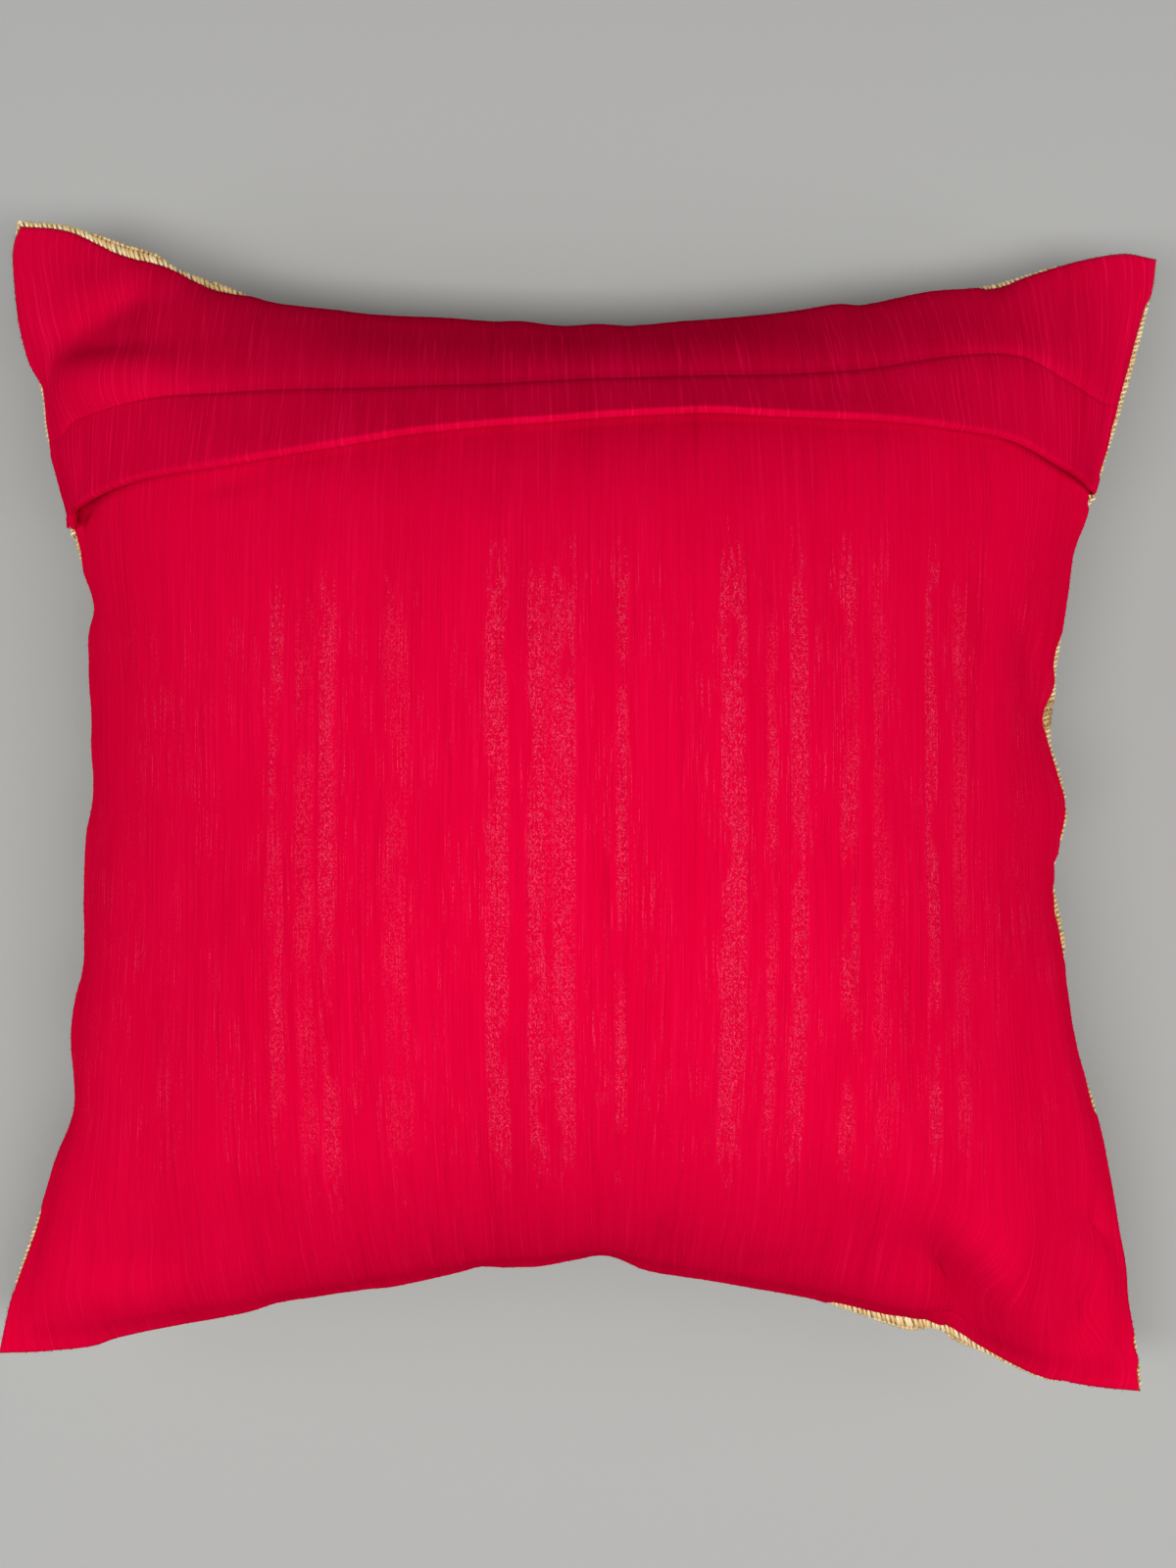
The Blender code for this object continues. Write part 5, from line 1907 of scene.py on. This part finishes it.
# Paler pink than the crimson cloth: partly painted light, the glow of frayed fibres lit from
# behind.
FRAYED_THREAD = TwistedThread(
    "frayed_red_thread", (0.38, 0.040, 0.060), (0.55, 0.13, 0.16), (0.70, 0.27, 0.30)
)


class Finishes:
    """The finishes of the cover's cloths and threads, made once each."""

    dark_share = 0.5
    bright_share = 1.15
    bright_lift = 0.04

    def __init__(self) -> None:
        """Makes the materials."""
        self.panel = CrimsonCloth().material()
        # The flap's copy of the cloth is darker, partly its own weave and partly painted shade of
        # the top slope facing away from the light; its stronger paler ribs partly paint the raking
        # light on them.
        self.flap = CrimsonCloth(
            name="crimson_flap_cloth", dark=(0.52, 0.0002, 0.026),
            base=(0.62, 0.0003, 0.034), bright=(0.72, 0.0010, 0.048),
            rib_amount=0.55, rib_slant=0.06, glint_flecked=False,
        ).material()
        self.front = GoldBrocade().material()
        self.gold = GOLD_THREAD.material()
        self.stitch = STITCH_THREAD.material()
        self.frayed = FRAYED_THREAD.material()

    def loose_end(self, colour: EndColour) -> Material:
        """Makes the finish of a loose thread end."""
        dark = tuple(part * self.dark_share for part in colour.value)
        bright = tuple(
            min(1.0, part * self.bright_share + self.bright_lift) for part in colour.value
        )
        return TwistedThread(f"{colour.name.lower()}_thread", dark, colour.value, bright).material()


class CushionCover:
    """The whole cover: filled front, back panel, flap, edge threads and seam threads."""

    body = "root"

    def __init__(self) -> None:
        """Shapes the cover and lets its cloth take its unevenness."""
        self.shape = CoverShape()
        FillingPressure().settle(self.shape)
        self.finishes = Finishes()
        self.pieces: list[Piece] = []

    def keep(self, piece: Piece, finish: Material) -> None:
        """Gives a piece its finish and its body, and reports it."""
        piece.data.materials.append(finish)
        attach(piece, self.body)
        self.pieces.append(piece)
        LOG.info("%s: %d points, %s", piece.name, len(piece.data.vertices), finish.name)

    def build(self) -> None:
        """Builds and dresses every piece."""
        panel, flap = BackPanel(self.shape), BackFlap(self.shape)
        panel_piece, flap_piece = panel.build(), flap.build()
        edge = CrimsonEdge((panel_piece, flap_piece))
        front = FilledFront(self.shape, edge)
        self.dress_front(front)
        self.dress_panel(panel, panel_piece)
        self.dress_flap(flap, flap_piece, panel_piece)
        self.build_edge(front)
        self.build_seam(edge)

    def dress_front(self, front: FilledFront) -> None:
        """Builds the filled front and gives it its finish."""
        piece = front.build()
        self.keep(piece, self.finishes.front)
        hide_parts("filled_front")

    def dress_panel(self, panel: BackPanel, piece: Piece) -> None:
        """Gives the back panel its finish."""
        self.keep(piece, self.finishes.panel)
        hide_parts("back_panel")

    def dress_flap(
        self, flap: BackFlap, piece: Piece, panel: Piece
    ) -> None:
        """Gives the flap over the panel its finish."""
        self.keep(piece, self.finishes.flap)
        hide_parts("back_flap")

    def build_edge(self, front: FilledFront) -> None:
        """Builds the gold threads over the front cloth's edge."""
        self.keep(EdgeBeads(front).build(), self.finishes.gold)

    def build_seam(self, edge: CrimsonEdge) -> None:
        """Builds the stitches, the frayed fibres and the loose thread ends."""
        threads = SeamThreads()
        self.keep(threads.build_stitches(edge), self.finishes.stitch)
        self.keep(threads.build_fibres(), self.finishes.frayed)
        for colour, piece in threads.build_ends().items():
            self.keep(piece, self.finishes.loose_end(colour))


@dataclass(frozen=True)
class SoftLight:
    """A flat soft light that faces the cushion."""

    name: str
    place: tuple[float, float, float]
    size: Pair
    power: float

    def build(self) -> None:
        """Builds the light."""
        lamp = bpy.data.lights.new(self.name, "AREA")
        lamp.shape = "RECTANGLE"
        lamp.size, lamp.size_y = self.size
        lamp.energy = self.power
        light = linked(self.name, lamp)
        light.location = self.place
        light.rotation_euler = (-Vector(self.place)).to_track_quat("-Z", "Y").to_euler()


@dataclass(frozen=True)
class Studio:
    """Plain pale floor, soft light and the camera straight above the cushion."""

    floor_size: float = 8.0
    floor_colour: Colour = (0.44, 0.44, 0.43)
    floor_roughness: float = 0.9
    world_colour: Colour = (1.0, 0.99, 0.97)
    world_strength: float = 0.06
    lights: tuple[SoftLight, ...] = (
        SoftLight("overhead_light", (0.0, -0.27, 1.6), (1.8, 0.4), 22.3),
        SoftLight("left_light", (-1.5, -0.10, 0.95), (1.0, 1.0), 9.0),
        SoftLight("right_light", (1.5, -0.10, 0.95), (1.0, 1.0), 10.0),
    )
    seam_height: float = 0.056
    camera_rise: float = 0.750
    pixel_at_seam: float = 0.000335
    image_height: int = 1600
    sensor: float = 36.0
    camera_axis: Pair = (0.0028, 0.0075)
    camera_turn: float = 1.3

    def build(self) -> None:
        """Builds the floor, the light, the world and the camera."""
        self.build_floor()
        self.build_light()
        self.build_camera()

    def build_floor(self) -> None:
        """Builds the plain floor."""
        half = self.floor_size / 2.0
        corners = [(-half, -half, 0.0), (half, -half, 0.0), (half, half, 0.0), (-half, half, 0.0)]
        floor = new_mesh("floor", np.array(corners), [(0, 1, 2, 3)])
        constants = {"Base Color": self.floor_colour, "Roughness": self.floor_roughness}
        floor.data.materials.append(Paint("plain_floor", constants).material)

    def build_light(self) -> None:
        """Builds the soft lights and the pale world."""
        for light in self.lights:
            light.build()
        world = bpy.data.worlds.new("pale_world")
        world.use_nodes = True
        background = world.node_tree.nodes["Background"]
        background.inputs["Color"].default_value = (*self.world_colour, 1.0)
        background.inputs["Strength"].default_value = self.world_strength
        bpy.context.scene.world = world

    def build_camera(self) -> None:
        """Builds the camera at the photographer's place."""
        lens = bpy.data.cameras.new("camera")
        lens.sensor_fit = "AUTO"
        lens.sensor_width = self.sensor
        lens.lens = self.sensor * self.camera_rise / self.pixel_at_seam / self.image_height
        camera = linked("camera", lens)
        x, y = self.camera_axis
        shift_x, shift_y = PLAN_SHIFT
        rise = self.seam_height + self.camera_rise
        camera.location = (x + shift_x * MM, y + shift_y * MM, rise)
        camera.rotation_euler = (0.0, 0.0, math.radians(self.camera_turn))
        bpy.context.scene.camera = camera


def write_sizes() -> None:
    """Updates the scene's view layer.
    """
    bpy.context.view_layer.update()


def main() -> None:
    """Builds the cover over its solids, with its light, floor and camera."""
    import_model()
    logging.basicConfig(level=logging.INFO, format="%(message)s")
    bpy.context.scene.view_settings.view_transform = "Standard"
    CushionCover().build()
    Studio().build()
    write_sizes()


if __name__ == "__main__":
    main()
